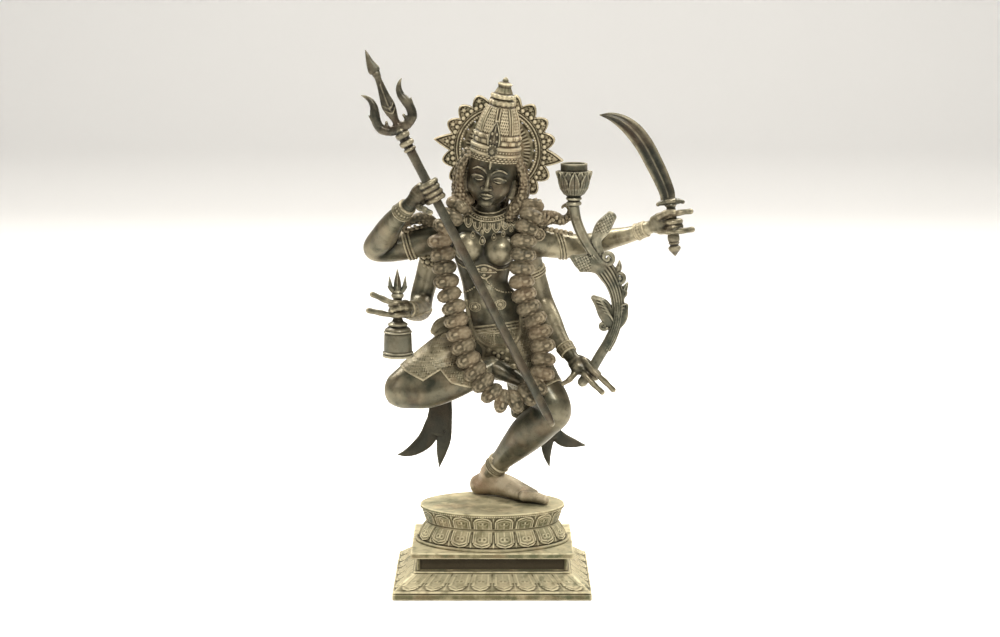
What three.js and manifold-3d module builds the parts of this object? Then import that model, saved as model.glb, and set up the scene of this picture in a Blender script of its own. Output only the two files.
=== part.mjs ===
// A cast bronze Kali in a dancing pose on a lotus pedestal.
// Millimetres, +Z up, the viewer looks along +Y. The origin is the centre of the pedestal's underside.

import * as THREE from 'three';
import { mergeVertices } from 'three/addons/utils/BufferGeometryUtils.js';
import Module from 'manifold-3d';

// Driving sizes of the pedestal
const PLINTH_WIDTH = 197;
const PLINTH_DEPTH = 148;
const BASE_PLATE_HEIGHT = 9;
const PETAL_BAND_HEIGHT = 13;
const PETAL_BAND_INSET = 20.5;
const PETAL_BAND_TOE = 2.5;
const DADO_INSET = 3;
const LEDGE_HEIGHT = 1.4;
const DADO_HEIGHT = 14;
const SLAB_OVERHANG = 6;
const SLAB_HEIGHT = 5.7;
const LOTUS_INSET = 2.6;
const RING_HEIGHT = 3;
const RING_STEP = 3.5;
const LOWER_LOTUS_HEIGHT = 16;
const UPPER_LOTUS_HEIGHT = 16.5;
const WAIST_INSET = 12;
const RIM_FLARE = 6.5;
const RIM_HEIGHT = 1.8;
const BASE_PETAL_PITCH = 25;
const LOTUS_PETAL_PITCH = 24;
const PETAL_RELIEF = 1.3;

// Driving sizes of the figure and of what it holds
const FIGURE_HEIGHT = 431;
const SEAT_GAP = 0.3;
const GRIP_CLEARANCE = 0.3;
const GARLAND_PITCH = 13.4;
const TRIDENT_SHAFT_DIAMETER = 9.2;
const TRIDENT_ABOVE_HAND = 65;
const TRIDENT_BELOW_HAND = 253;
const TRIDENT_HEAD_LENGTH = 84.5;
const TRIDENT_HEAD_LEAN = 4;
const SWORD_GRIP_DIAMETER = 10;
const SWORD_GRIP_LENGTH = 44;
const SWORD_BLADE_WIDTH = 17.5;
const SWORD_BLADE_THICKNESS = 4.6;
const SWORD_GUARD_WIDTH = 24;
const BELL_MOUTH_DIAMETER = 30.5;
const BELL_BODY_HEIGHT = 22;
const BELL_HANDLE_DIAMETER = 8;
const BELL_HANDLE_HEIGHT = 34;
const BELL_PRONG_HEIGHT = 22;
const BELL_WALL = 2.2;
const STALK_DIAMETER = 10.4;
const LOTUS_CUP_DIAMETER = 32;
const LOTUS_CUP_HEIGHT = 33;
const LOTUS_CUP_WALL = 2.4;

// The pose is written in parts, 431 of them from the sole to the tip of the crown
const PART = FIGURE_HEIGHT / 431;

// Heights of the pedestal, from the floor up
const bandFoot = BASE_PLATE_HEIGHT;
const bandTop = bandFoot + PETAL_BAND_HEIGHT;
const dadoFoot = bandTop + LEDGE_HEIGHT;
const slabFoot = dadoFoot + DADO_HEIGHT;
const slabTop = slabFoot + SLAB_HEIGHT;
const lotusFoot = slabTop + RING_HEIGHT;
const waistHeight = lotusFoot + LOWER_LOTUS_HEIGHT;
const pedestalTop = waistHeight + UPPER_LOTUS_HEIGHT + RIM_HEIGHT;

const wasm = await Module();
wasm.setup();

const UP = new THREE.Vector3(0, 0, 1);
const FRONT = new THREE.Vector3(0, -1, 0);
const WELD = 1e-4;

// Joining and cutting

function toSolid(geometry) {
  const bare = geometry.clone();
  bare.deleteAttribute('normal');
  bare.deleteAttribute('uv');
  const welded = mergeVertices(bare, WELD);
  return new wasm.Manifold(new wasm.Mesh({
    numProp: 3,
    vertProperties: Float32Array.from(welded.attributes.position.array),
    triVerts: Uint32Array.from(welded.index.array),
  }));
}

function join(geometries) {
  return geometries.map(toSolid).reduce((whole, piece) => whole.add(piece));
}

function toGeometry(solid) {
  const mesh = solid.getMesh();
  const geometry = new THREE.BufferGeometry();
  geometry.setAttribute('position', new THREE.BufferAttribute(mesh.vertProperties, 3));
  geometry.setIndex(new THREE.BufferAttribute(mesh.triVerts, 1));
  geometry.computeVertexNormals();
  return geometry;
}

// Basic shapes

// A closed skin over rings that hold equally many points; a looped one joins its last ring to its first
function skin(rings, looped = false) {
  const count = rings[0].length;
  const points = rings.flat();
  const faces = [];
  const bands = looped ? rings.length : rings.length - 1;
  for (let r = 0; r < bands; r += 1) {
    const low = r * count;
    const high = ((r + 1) % rings.length) * count;
    for (let i = 0; i < count; i += 1) {
      const next = (i + 1) % count;
      faces.push(low + i, low + next, high + next, low + i, high + next, high + i);
    }
  }
  if (!looped) {
    const middle = (ring) => ring.reduce((sum, p) => sum.clone().add(p)).multiplyScalar(1 / count);
    const first = points.push(middle(rings[0])) - 1;
    const last = points.push(middle(rings.at(-1))) - 1;
    const end = (rings.length - 1) * count;
    for (let i = 0; i < count; i += 1) {
      const next = (i + 1) % count;
      faces.push(first, next, i, last, end + i, end + next);
    }
  }
  const geometry = new THREE.BufferGeometry().setFromPoints(points);
  geometry.setIndex(faces);
  return geometry;
}

// One oval ring across a direction; the second radius lies along the front
function ovalRing(centre, along, front, a, b, sides) {
  const v = front.clone().projectOnPlane(along).normalize();
  const u = v.clone().cross(along);
  return Array.from({ length: sides }, (unused, k) => {
    const angle = (2 * Math.PI * k) / sides;
    return centre.clone()
      .addScaledVector(u, a * Math.cos(angle))
      .addScaledVector(v, b * Math.sin(angle));
  });
}

const ROUND_END = { out: 0.7, shrink: 0.66 };
const BAND_EDGE = 0.8;
const NARROW_BAND = 0.06;

// Places along a limb, with the height of any band there; a band is its middle, half length and height
function stations(count, bands) {
  const within = (t, [mid, half]) => Math.abs(t - mid) < half * BAND_EDGE;
  const rise = (t) => Math.max(0, ...bands.map((band) => (within(t, band) ? band[2] : 0)));
  const onEdge = (t) => bands.some(([mid, half]) => {
    const away = Math.abs(t - mid) / half;
    return away >= BAND_EDGE && away <= 1.02;
  });
  const list = [[0, rise(0)], [1, rise(1)]];
  for (let i = 1; i < count; i += 1) {
    if (!onEdge(i / count)) {
      list.push([i / count, rise(i / count)]);
    }
  }
  bands.forEach(([mid, half, proud]) => {
    const crest = half < NARROW_BAND ? [[0, proud]] : [[-BAND_EDGE, proud], [BAND_EDGE, proud]];
    [[-1, 0], ...crest, [1, 0]].forEach(([side, height]) => {
      const t = mid + side * half;
      if (t > 0.01 && t < 0.99) {
        list.push([t, height]);
      }
    });
  });
  return list.sort((one, other) => one[0] - other[0]);
}

const FLAT = [false, false];

// A limb along a smooth line; each row is x, y, z and the two radii there, and either end may be rounded
function tube(rows, options = {}) {
  const { sides = 6, front = FRONT, round = [true, true], bands = [], scale = 1 } = options;
  const line = new THREE.CatmullRomCurve3(rows.map(([x, y, z]) => new THREE.Vector3(x, y, z)));
  const girth = new THREE.CatmullRomCurve3(rows.map(([, , , a, b = a]) => new THREE.Vector3(a, b, 0)));
  const rings = [];
  const ring = (t, out, shrink, rise = 0) => {
    const along = line.getTangent(t).normalize();
    const size = girth.getPoint(t);
    const centre = line.getPoint(t)
      .addScaledVector(along, out * Math.min(size.x, size.y))
      .multiplyScalar(scale);
    const a = (size.x * shrink + rise) * scale;
    const b = (size.y * shrink + rise) * scale;
    return ovalRing(centre, along, front, a, b, sides);
  };
  if (round[0]) {
    rings.push(ring(0, -ROUND_END.out, ROUND_END.shrink));
  }
  stations(rows.length - 1, bands).forEach(([t, rise]) => rings.push(ring(t, 0, 1, rise)));
  if (round[1]) {
    rings.push(ring(1, ROUND_END.out, ROUND_END.shrink));
  }
  return skin(rings);
}

// An egg with its own three radii
function egg([x, y, z], [rx, ry, rz], { across = 6, down = 4 } = {}) {
  return new THREE.SphereGeometry(1, across, down)
    .rotateX(Math.PI / 2)
    .scale(rx, ry, rz)
    .translate(x, y, z);
}

// A turned shape about +Z from pairs of radius and height
function turned(profile, sides = 12) {
  return new THREE.LatheGeometry(profile.map(([r, h]) => new THREE.Vector2(r, h)), sides)
    .rotateX(Math.PI / 2);
}

// A matrix that stands +Z along a direction, with +Y kept away from the viewer
function standing(origin, direction) {
  const z = direction.clone().normalize();
  const y = FRONT.clone().negate().projectOnPlane(z).normalize();
  const x = y.clone().cross(z);
  return new THREE.Matrix4().makeBasis(x, y, z).setPosition(origin);
}

// The pedestal

// A slab with level faces whose sides may slope
function steppedBlock(width, depth, foot, height, topWidth = width, topDepth = depth) {
  const corner = (w, d, z) => [
    new THREE.Vector3(w / 2, -d / 2, z),
    new THREE.Vector3(w / 2, d / 2, z),
    new THREE.Vector3(-w / 2, d / 2, z),
    new THREE.Vector3(-w / 2, -d / 2, z),
  ];
  return skin([corner(width, depth, foot), corner(topWidth, topDepth, foot + height)]);
}

// How far a petal row stands out at its groove and its two shoulders, and where these lie across the petal
const PETAL_BEATS = [{ across: 0, relief: 0 }, { across: 0.24, relief: 1 }, { across: 0.76, relief: 1 }];

// One ring of petals round a rectangle
function bandRing(width, depth, z, relief) {
  const sides = [[width, depth], [depth, width], [width, depth], [depth, width]];
  return sides.flatMap(([length, other], side) => {
    const count = Math.round((side % 2 ? PLINTH_DEPTH : PLINTH_WIDTH) / BASE_PETAL_PITCH);
    return Array.from({ length: count }, (unused, i) => PETAL_BEATS.map((beat) => {
      const along = ((i + beat.across) / count - 0.5) * length;
      const out = -other / 2 - beat.relief * relief;
      return new THREE.Vector3(along, out, z).applyAxisAngle(UP, (side * Math.PI) / 2);
    })).flat();
  });
}

// One ring of petals of even width round an oval, from a groove in the middle of the front.
// The grooves may be lifted, which rounds the petals' ends.
function lotusRing(a, b, z, relief, lift, count) {
  const oval = new THREE.EllipseCurve(0, 0, a, b, -Math.PI / 2, 1.5 * Math.PI);
  oval.arcLengthDivisions = 720;
  return Array.from({ length: count }, (unused, i) => PETAL_BEATS.map((beat) => {
    const angle = 2 * Math.PI * oval.getUtoTmapping((i + beat.across) / count) - Math.PI / 2;
    const out = beat.relief * relief;
    const high = beat.relief ? 0 : lift;
    return new THREE.Vector3((a + out) * Math.cos(angle), (b + out) * Math.sin(angle), z + high);
  })).flat();
}

function makePedestal() {
  const bandWidth = PLINTH_WIDTH - 2 * PETAL_BAND_TOE;
  const bandDepth = PLINTH_DEPTH - 2 * PETAL_BAND_TOE;
  const ledgeWidth = PLINTH_WIDTH - 2 * PETAL_BAND_INSET;
  const ledgeDepth = PLINTH_DEPTH - 2 * PETAL_BAND_INSET;
  const dadoWidth = ledgeWidth - 2 * DADO_INSET;
  const dadoDepth = ledgeDepth - 2 * DADO_INSET;
  const slabWidth = dadoWidth + 2 * SLAB_OVERHANG;
  const slabDepth = dadoDepth + 2 * SLAB_OVERHANG;
  const ringA = slabWidth / 2 - LOTUS_INSET;
  const ringB = slabDepth / 2 - LOTUS_INSET;
  const footA = ringA - RING_STEP;
  const footB = ringB - RING_STEP;
  const waistA = ringA - WAIST_INSET;
  const waistB = ringB - WAIST_INSET;
  const rimA = waistA + RIM_FLARE;
  const rimB = waistB + RIM_FLARE;
  const rimFoot = pedestalTop - RIM_HEIGHT;
  const count = Math.round(new THREE.EllipseCurve(0, 0, footA, footB).getLength() / LOTUS_PETAL_PITCH);
  const lotus = skin([
    [ringA, ringB, slabTop - 0.5, 0, 0],
    [ringA, ringB, slabTop + 1.4, 0, 0],
    [ringA - 1.4, ringB - 1.4, lotusFoot, 0, 0],
    [footA - 1, footB - 1, lotusFoot + 0.3, PETAL_RELIEF, 2.4],
    [footA - 3, footB - 3, lotusFoot + 7, PETAL_RELIEF, 0],
    [waistA, waistB, waistHeight, 0, 0],
    [rimA - 2.6, rimB - 2.6, rimFoot - 1, PETAL_RELIEF, -2.4],
    [rimA, rimB, rimFoot + 0.4, 0, 0],
    [rimA, rimB, pedestalTop, 0, 0],
  ].map(([a, b, z, relief, lift]) => lotusRing(a, b, z, relief, lift, count)));
  const band = skin([
    bandRing(bandWidth, bandDepth, bandFoot - 0.5, 0),
    bandRing(bandWidth, bandDepth, bandFoot + 1.5, PETAL_RELIEF),
    bandRing(ledgeWidth, ledgeDepth, bandTop, 0),
  ]);
  return join([
    steppedBlock(PLINTH_WIDTH, PLINTH_DEPTH, 0, bandFoot),
    band,
    steppedBlock(ledgeWidth, ledgeDepth, bandTop - 1, LEDGE_HEIGHT + 1),
    steppedBlock(dadoWidth, dadoDepth, dadoFoot - 1, DADO_HEIGHT + 2),
    steppedBlock(slabWidth, slabDepth, slabFoot, SLAB_HEIGHT),
    lotus,
  ]);
}

// The figure: pose in parts, from the centre of the pedestal's top

const limb = (rows, options) => tube(rows, { ...options, scale: PART });
const lump = (centre, radii, options) => egg(
  centre.map((v) => v * PART),
  radii.map((v) => v * PART),
  options,
);
const place = ([x, y, z]) => new THREE.Vector3(x, y, z).multiplyScalar(PART);

const JOINTS = {
  neck: [-5, 4, 290],
  head: [-1, -5, 330],
  tridentHand: [-58, -57, 323],
  swordHand: [177, -22, 287],
  bellHand: [-92, -50, 208],
  stalkHand: [98, -21, 140],
};

function makeTrunk() {
  return [
    limb([
      [8, 15, 150, 25, 20], [8, 14, 168, 36, 26], [4, 11, 190, 31, 23], [-3, 7, 208, 25.5, 19],
      [-7, 6, 224, 23, 17], [-8, 5, 243, 27, 18], [-8, 5, 262, 33, 19], [-7, 6, 280, 36, 15],
    ], { sides: 10, bands: [[0.13, 0.13, 2]] }),
    limb([[-40, 7, 275, 14], [-7, 7, 284, 15], [36, 7, 270, 14]], { front: UP, round: FLAT }),
    lump([-23.5, -10, 263], [15, 15, 15.5], { across: 7, down: 5 }),
    lump([8, -10, 260], [16, 15, 16], { across: 7, down: 5 }),
    limb([[-6, 5, 280, 14], [-2, 0, 316, 12]], { round: FLAT }),
  ];
}

// The bands on each limb are its cast armlets, bracelets and anklets, and the hems of the cloth
function makeArms() {
  const hidden = { round: [false, true] };
  return [
    limb([
      [-38, 6, 274, 15], [-60, 3, 270, 15.5], [-84, -1, 264, 15.5], [-104, -5, 261, 14.5], [-114, -9, 262, 9],
    ], { round: FLAT, bands: [[0.56, 0.055, 1.8]] }),
    limb([
      [-115, -7, 261, 13.5], [-106, -22, 275, 12.8], [-96, -37, 291, 10.8],
      [-86, -47, 303, 9], [-78, -52, 311, 7.6],
    ], { bands: [[0.76, 0.13, 2]] }),
    limb([
      [34, 6, 270, 14.5], [56, 11, 263, 13.5], [80, 18, 260, 12.3], [99, 21, 261, 11.6],
      [118, 12, 268, 10.4], [137, 0, 274, 8.2], [156, -13, 283, 7.2],
    ], { ...hidden, bands: [[0.2, 0.045, 1.6], [0.9, 0.05, 1.8]] }),
    limb([
      [-44, 14, 268, 13.5], [-59, 18, 248, 12.8], [-66, 21, 226, 12.2], [-70, 20, 208, 11.8],
      [-72, 8, 199, 11.4], [-77, -13, 200, 10], [-83, -38, 204, 7.6],
    ], { ...hidden, front: new THREE.Vector3(0.95, 0, 0.3), bands: [[0.3, 0.05, 2.2], [0.93, 0.04, 1.8]] }),
    limb([
      [32, 14, 264, 13.5], [37, 19, 245, 12.8], [44, 25, 222, 12.2], [50, 27, 203, 11.8],
      [59, 14, 185, 11], [68, -1, 168, 9], [80, -16, 151, 7.2],
    ], { ...hidden, bands: [[0.26, 0.05, 2.2], [0.92, 0.05, 1.8]] }),
  ];
}

function makeLegs() {
  const leg = { sides: 8 };
  const across = { front: UP };
  return [
    limb(
      [[22, 13, 160, 27, 26], [32, 3, 143, 25, 25], [47, -11, 124, 21, 22], [61, -24, 107, 17, 16]],
      { ...leg, round: FLAT, bands: [[0.2, 0.34, 2]] },
    ),
    limb([
      [63, -26, 103, 18.5, 18.5], [45.5, -14, 83, 20.5, 20], [26.5, 0, 62, 16.5, 16.5],
      [11.5, 14, 43, 11.5, 12], [-2, 26, 26, 9.5, 11],
    ], { ...leg, round: [true, false], bands: [[0.88, 0.055, 2.2]] }),
    limb([[-14, 39, 9, 10, 11], [-1, 31, 14, 11.5, 14], [28, 14, 8, 13, 9.5], [42, 5, 5, 12, 5.5]], across),
    ...[0, 1, 2, 3, 4].map((toe) => limb([
      [40 + 0.4 * toe, -4 + 4.3 * toe, 5, 3.6 - 0.35 * toe],
      [51 - 1.3 * toe, -9 + 3.9 * toe, 3.8, 3 - 0.35 * toe],
    ], { sides: 4, round: FLAT })),
    limb(
      [[-8, 12, 162, 28, 26], [-34, -1, 154, 26, 26], [-60, -15, 141, 22.5, 23], [-84, -25, 127, 18, 16]],
      { ...leg, round: FLAT, bands: [[0.38, 0.44, 2]] },
    ),
    limb([
      [-86, -26, 122, 18.5], [-66, -31, 121.5, 17.5], [-44, -34, 128, 16.5],
      [-20, -34, 137, 13.5], [-2, -31, 146, 10.5],
    ], { ...leg, ...across, round: [true, false], bands: [[0.84, 0.05, 1.8]] }),
    limb([[-6, -29, 147, 10], [10, -32, 142, 10.5, 9.5], [36, -34, 128, 8, 5]], { ...across, round: FLAT }),
  ];
}

// How far the middle of a bent finger lies outside the bar that it holds
const FINGER_REACH = 3.3;

// Fingers bent round a held bar, between two angles counted from the palm
function wrappedFinger(grip, radius, along, from, to, thick) {
  const rows = [0, 1, 2].map((knuckle) => {
    const angle = THREE.MathUtils.degToRad(from + ((to - from) * knuckle) / 2);
    const p = new THREE.Vector3()
      .addScaledVector(grip.palm, Math.cos(angle) * radius)
      .addScaledVector(grip.side, Math.sin(angle) * radius)
      .addScaledVector(grip.axis, along);
    return [grip.at[0] + p.x, grip.at[1] + p.y, grip.at[2] + p.z, thick];
  });
  return limb(rows, { sides: 4, round: FLAT, front: grip.axis });
}

function gripFrame(at, axis, palm) {
  const a = new THREE.Vector3(...axis).normalize();
  const p = new THREE.Vector3(...palm).projectOnPlane(a).normalize();
  return { at, axis: a, palm: p, side: a.clone().cross(p) };
}

// The trident runs down across the body, from above the viewer's left to the bent knee
const TRIDENT_AXIS = [-0.456, 0.02, 0.89];
const SWORD_AXIS = [-0.1, 0.06, 0.99];
const STALK_AXIS = [0.58, 0.04, 0.81];

const straightFinger = (from, mid, to, thick) => limb(
  [[...from, thick], [...mid, thick * 0.92], [...to, thick * 0.7]],
  { sides: 4, round: FLAT, front: new THREE.Vector3(0.3, -0.5, 0.8) },
);

function makeHands() {
  const trident = gripFrame(JOINTS.tridentHand, TRIDENT_AXIS, [-1, 0.3, -0.4]);
  const sword = gripFrame(JOINTS.swordHand, SWORD_AXIS, [-1, 0.2, 0]);
  const bell = gripFrame(JOINTS.bellHand, [0, 0, 1], [1, 0.6, 0]);
  const stalk = gripFrame(JOINTS.stalkHand, STALK_AXIS, [-0.9, 0.3, 0.6]);
  const palm = (grip, out, radii) => lump(
    [grip.at[0] + grip.palm.x * out, grip.at[1] + grip.palm.y * out, grip.at[2] + grip.palm.z * out],
    radii,
  );
  const round = (diameter) => diameter / 2 / PART + FINGER_REACH;
  const onTrident = round(TRIDENT_SHAFT_DIAMETER);
  const onSword = round(SWORD_GRIP_DIAMETER);
  const onBell = round(BELL_HANDLE_DIAMETER);
  const onStalk = round(STALK_DIAMETER);
  return [
    palm(trident, 10, [9, 7.5, 11]),
    ...[-8, -2.7, 2.7, 8].map((along) => wrappedFinger(trident, onTrident, along, 20, 230 - 4 * along, 2.8)),
    straightFinger([-68, -58, 312], [-66, -64, 308], [-60, -66, 303], 3),
    palm(sword, 12, [12, 7, 9.5]),
    ...[-2.8, 2.3].map((along) => wrappedFinger(sword, onSword, along, 20, 230, 2.8)),
    straightFinger([163, -24, 293], [177, -33, 298], [192, -30, 300], 3.1),
    straightFinger([163, -24, 281], [178, -33, 280], [194, -28, 282], 3),
    straightFinger([158, -22, 292], [166, -31, 298], [175, -33, 299], 3.2),
    palm(bell, 9, [8.5, 8, 10]),
    ...[-2.8, 2.3].map((along) => wrappedFinger(bell, onBell, along, -20, -220, 2.7)),
    straightFinger([-82, -52, 211], [-96, -61, 215.5], [-115, -56, 222], 3.1),
    straightFinger([-82, -51, 202], [-97, -60, 203], [-119, -54, 206], 3),
    straightFinger([-80, -51, 209], [-88, -61, 210], [-96, -62, 208], 3.2),
    palm(stalk, 10, [11, 9, 10]),
    ...[-2.8, 2.3].map((along) => wrappedFinger(stalk, onStalk, along, 20, 230, 2.8)),
    straightFinger([87, -23, 143], [96, -34, 133], [108, -32, 121], 3.1),
    straightFinger([91, -23, 149], [106, -34, 137], [119, -30, 123], 3),
    straightFinger([86, -19, 144], [78, -28, 133], [71, -31, 130], 3.2),
  ];
}

// The head is built upright about its own centre, then leaned with its crown and halo
const HEAD_TURN = new THREE.Euler(
  THREE.MathUtils.degToRad(5),
  THREE.MathUtils.degToRad(8.4),
  THREE.MathUtils.degToRad(-7),
  'YXZ',
);

// Rows of the head from under the chin to the brow: height, half width, depth in front and depth behind,
// then how far the middle, the side of the nose and the eye or cheek stand out
const HEAD_ROWS = [
  [-27, 6, 15, -4, 0, 0, 0],
  [-25, 12, 19, 2, 0.6, 0.3, 0],
  [-19.5, 17, 19.5, 9, 0, 0, 0],
  [-16.5, 18.6, 20.5, 13, 2, 1.2, 0],
  [-12, 20.4, 21, 16, 0.4, 0.4, 0.8],
  [-8.5, 21.4, 21.5, 18, 5, 2.6, 1],
  [-3, 22.4, 22, 20, 3, 0.6, 1],
  [1.5, 22.8, 22.5, 21, 1.6, -0.8, -0.4],
  [6, 22.8, 22.5, 22, 1.2, 1, 0.6],
  [15, 22.2, 22.5, 22, 0, 0, 0],
  [24, 20, 21, 20, 0, 0, 0],
];
const HEAD_COLUMNS = [0, 10, 25, 48, 82, 125];

function makeHead() {
  const angles = [...HEAD_COLUMNS, 180, ...HEAD_COLUMNS.slice(1).toReversed().map((angle) => 360 - angle)];
  const rings = HEAD_ROWS.map(([z, wide, front, back, ...relief]) => angles.map((angle) => {
    const turn = THREE.MathUtils.degToRad(angle);
    const beside = Math.min(angle, 360 - angle);
    const out = relief[HEAD_COLUMNS.indexOf(beside)] ?? 0;
    const deep = (beside < 90 ? front : back) + out;
    return new THREE.Vector3(wide * Math.sin(turn), -deep * Math.cos(turn), z);
  }));
  const ears = [-1, 1].map((side) => egg([side * 22, -3, -9], [4.6, 5, 12], { across: 5 }));
  return [skin(rings), ...ears];
}

// The crown: a fringe of curls, a tiara, a dome with upright ribs, two collars and a bud
function makeCrown() {
  const rows = [
    [22.6, 19.5, 0], [24.8, 27, 0], [24.8, 34.5, 0], [22, 37, 0], [21.4, 47, 1.8], [17.6, 61, 1.6],
    [12.4, 73.5, 0], [12.2, 80.5, 0], [7.6, 83, 0], [8.6, 89, 0], [0.8, 101.5, 0],
  ];
  const ribs = 7;
  const crown = skin(rows.map(([radius, z, relief]) => Array.from({ length: 2 * ribs }, (unused, k) => {
    const angle = (Math.PI * k) / ribs;
    const out = radius + (k % 2 ? 0 : relief);
    return new THREE.Vector3(out * Math.cos(angle), out * Math.sin(angle), z);
  })));
  return [crown, egg([0, -23.4, 34], [5.4, 4, 6.2])];
}

// The halo: a disc with a raised inner ring and an edge of tongues, with one long point at each side
const HALO = { tongues: 18, inner: 50, outer: 58, point: 66, back: 26, thickness: 4.4 };

function makeHalo() {
  const { tongues, inner, outer, point, back, thickness } = HALO;
  const edge = Array.from({ length: tongues * 2 }, (unused, k) => (k % 2 ? inner : outer));
  edge[0] = point;
  edge[tongues] = point;
  const even = (radius) => edge.map(() => radius);
  const rows = [[edge, thickness], [edge, 0], [even(44), -2], [even(38), 0]];
  const disc = skin(rows.map(([reaches, y]) => reaches.map((reach, k) => {
    const angle = (Math.PI * k) / tongues;
    return new THREE.Vector3(reach * Math.cos(angle), back + y, 25 + reach * Math.sin(angle));
  })));
  const stem = tube([[0, 8, 24, 9, 10], [0, back + 1, 25, 8, 9]], { round: FLAT, front: UP });
  return [disc, stem];
}

function makeHeadGroup() {
  const lean = new THREE.Matrix4().makeRotationFromEuler(HEAD_TURN);
  const move = new THREE.Matrix4().makeTranslation(...JOINTS.head);
  const grow = new THREE.Matrix4().makeScale(PART, PART, PART);
  const whole = grow.multiply(move).multiply(lean);
  return [...makeHead(), ...makeCrown(), ...makeHalo()].map((piece) => piece.applyMatrix4(whole));
}

// Curled hair beside the neck, and one fall of it down the upper back
function makeHair() {
  const curls = [[-29, -2, 314, 10], [20, -4, 301, 10]].map(([x, y, z, size]) => (
    lump([x, y, z], [size, size, size * 1.1])
  ));
  const fall = limb([
    [-1, 12, 334, 17, 10], [-4, 18, 312, 19, 9], [-6, 21, 288, 20, 8], [-7, 22, 262, 15, 6],
  ]);
  return [...curls, fall];
}

// The garland of small heads: a closed string over the shoulders, down both sides and across the lap
const GARLAND_LINE = [
  [-31, -10, 309], [-42, -20, 290], [-51, -24, 274], [-48, -27, 257], [-46, -29, 240], [-43, -32, 222],
  [-37, -35, 205], [-34, -38, 188], [-28, -43, 168], [-19, -49, 149], [-6, -52, 131], [7, -50, 117],
  [20, -47, 114], [34, -45, 121], [47, -43, 134], [50, -40, 150], [50, -37, 164], [48, -34, 178],
  [43, -31, 192], [36, -29, 205], [31, -27, 219], [29, -26, 233], [29, -25, 247], [31, -24, 261],
  [31, -22, 273], [36, -18, 287], [40, -9, 301], [33, 8, 303], [14, 24, 297], [-6, 27, 295], [-24, 20, 299],
];

// Each head is a swelling of the string, wide across it and shallower towards the body.
// A ring is its share of the way along the head and its share of the head's size.
// Behind the neck the string is plain.
const BEAD = { wide: 11.6, deep: 8, rings: [[0, 0.5], [0.26, 1], [0.74, 1]], cord: [[0, 0.5]] };
const BEHIND_NECK = 4;

function makeGarland() {
  const line = new THREE.CatmullRomCurve3(GARLAND_LINE.map((p) => place(p)), true);
  const count = Math.round(line.getLength() / (GARLAND_PITCH * PART));
  const kinds = Array.from({ length: count }, (unused, i) => (
    line.getPointAt((i + 0.5) / count).y > BEHIND_NECK * PART ? BEAD.cord : BEAD.rings
  ));
  const rings = kinds.flatMap((kind, i) => kind.map(([step, swell]) => {
    const t = (i + step) / count;
    const at = line.getPointAt(t);
    const high = Math.max(0, at.z / PART - 285);
    const outward = new THREE.Vector3(0.2 * at.x, at.y - 8 * PART, high * PART);
    const size = swell * PART;
    return ovalRing(at, line.getTangentAt(t).normalize(), outward, BEAD.wide * size, BEAD.deep * size, 5);
  }));
  return [skin(rings, true)];
}

function makeJewellery() {
  const collar = limb([
    [-28, -3, 300, 3], [-21, -12, 292, 4, 3], [-8, -16, 286, 4.6, 3], [6, -14, 288, 4.4, 3], [17, -4, 297, 3],
  ], { sides: 4, round: FLAT });
  const small = { across: 4, down: 3 };
  const drops = [[-18, -13, 280], [-6, -15.5, 277], [6, -14.5, 279], [-9, -18, 267]].map((centre) => (
    lump(centre, [4.8, 3.4, 6], small)
  ));
  const cord = limb([
    [-28, -4, 205, 2], [-25, -12, 190, 2.1], [-12, -14.8, 174, 2.2],
    [9, -14, 164, 2.2], [25, -9.5, 170, 2.1], [31, -5, 188, 2],
  ], { sides: 4, round: FLAT });
  const clasp = lump([-10, -12, 241], [12, 4, 5]);
  const bosses = [[-17, -8.5, 202], [8, -10.5, 204]].map((centre) => lump(centre, [6, 3.5, 5], small));
  return [collar, ...drops, cord, clasp, ...bosses];
}

function makeShoulderOrnaments() {
  const curl = { sides: 5, round: FLAT };
  return [
    limb([
      [43, 6, 275, 6], [50, 1, 289, 8, 6.5], [61, 0, 291, 6.6, 5.5],
      [70, 1, 288, 4.6], [77, 2, 295, 3], [72, 3, 303, 2],
    ], curl),
    limb([[-56, 0, 284, 5], [-70, -5, 291, 5], [-82, -9, 288, 4], [-88, -11, 281, 2.4]], curl),
  ];
}

// The lion-faced clasp and knotted ends of the belt, the bow at the hip and the cloth behind the thigh
function makeDress() {
  const ribbon = { sides: 5, round: FLAT };
  return [
    lump([4, -17, 157], [13, 7, 9]),
    limb([[3, -20, 151, 6, 4], [14, -27, 141, 5, 3], [25, -33, 131, 4, 3]], ribbon),
    limb([[4, -20, 150, 6, 4], [-6, -28, 142, 5, 3], [-16, -36, 136, 4, 3]], ribbon),
    limb([[-30, 6, 182, 6], [-46, 4, 184, 6], [-58, 3, 172, 5.5], [-52, 4, 155, 5]], ribbon),
    lump([-44, -14, 170], [5, 4, 5]),
    limb([[30, 20, 130, 17, 7], [31, 25, 106, 15, 5], [28, 25, 88, 10, 3.6]]),
  ];
}

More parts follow.
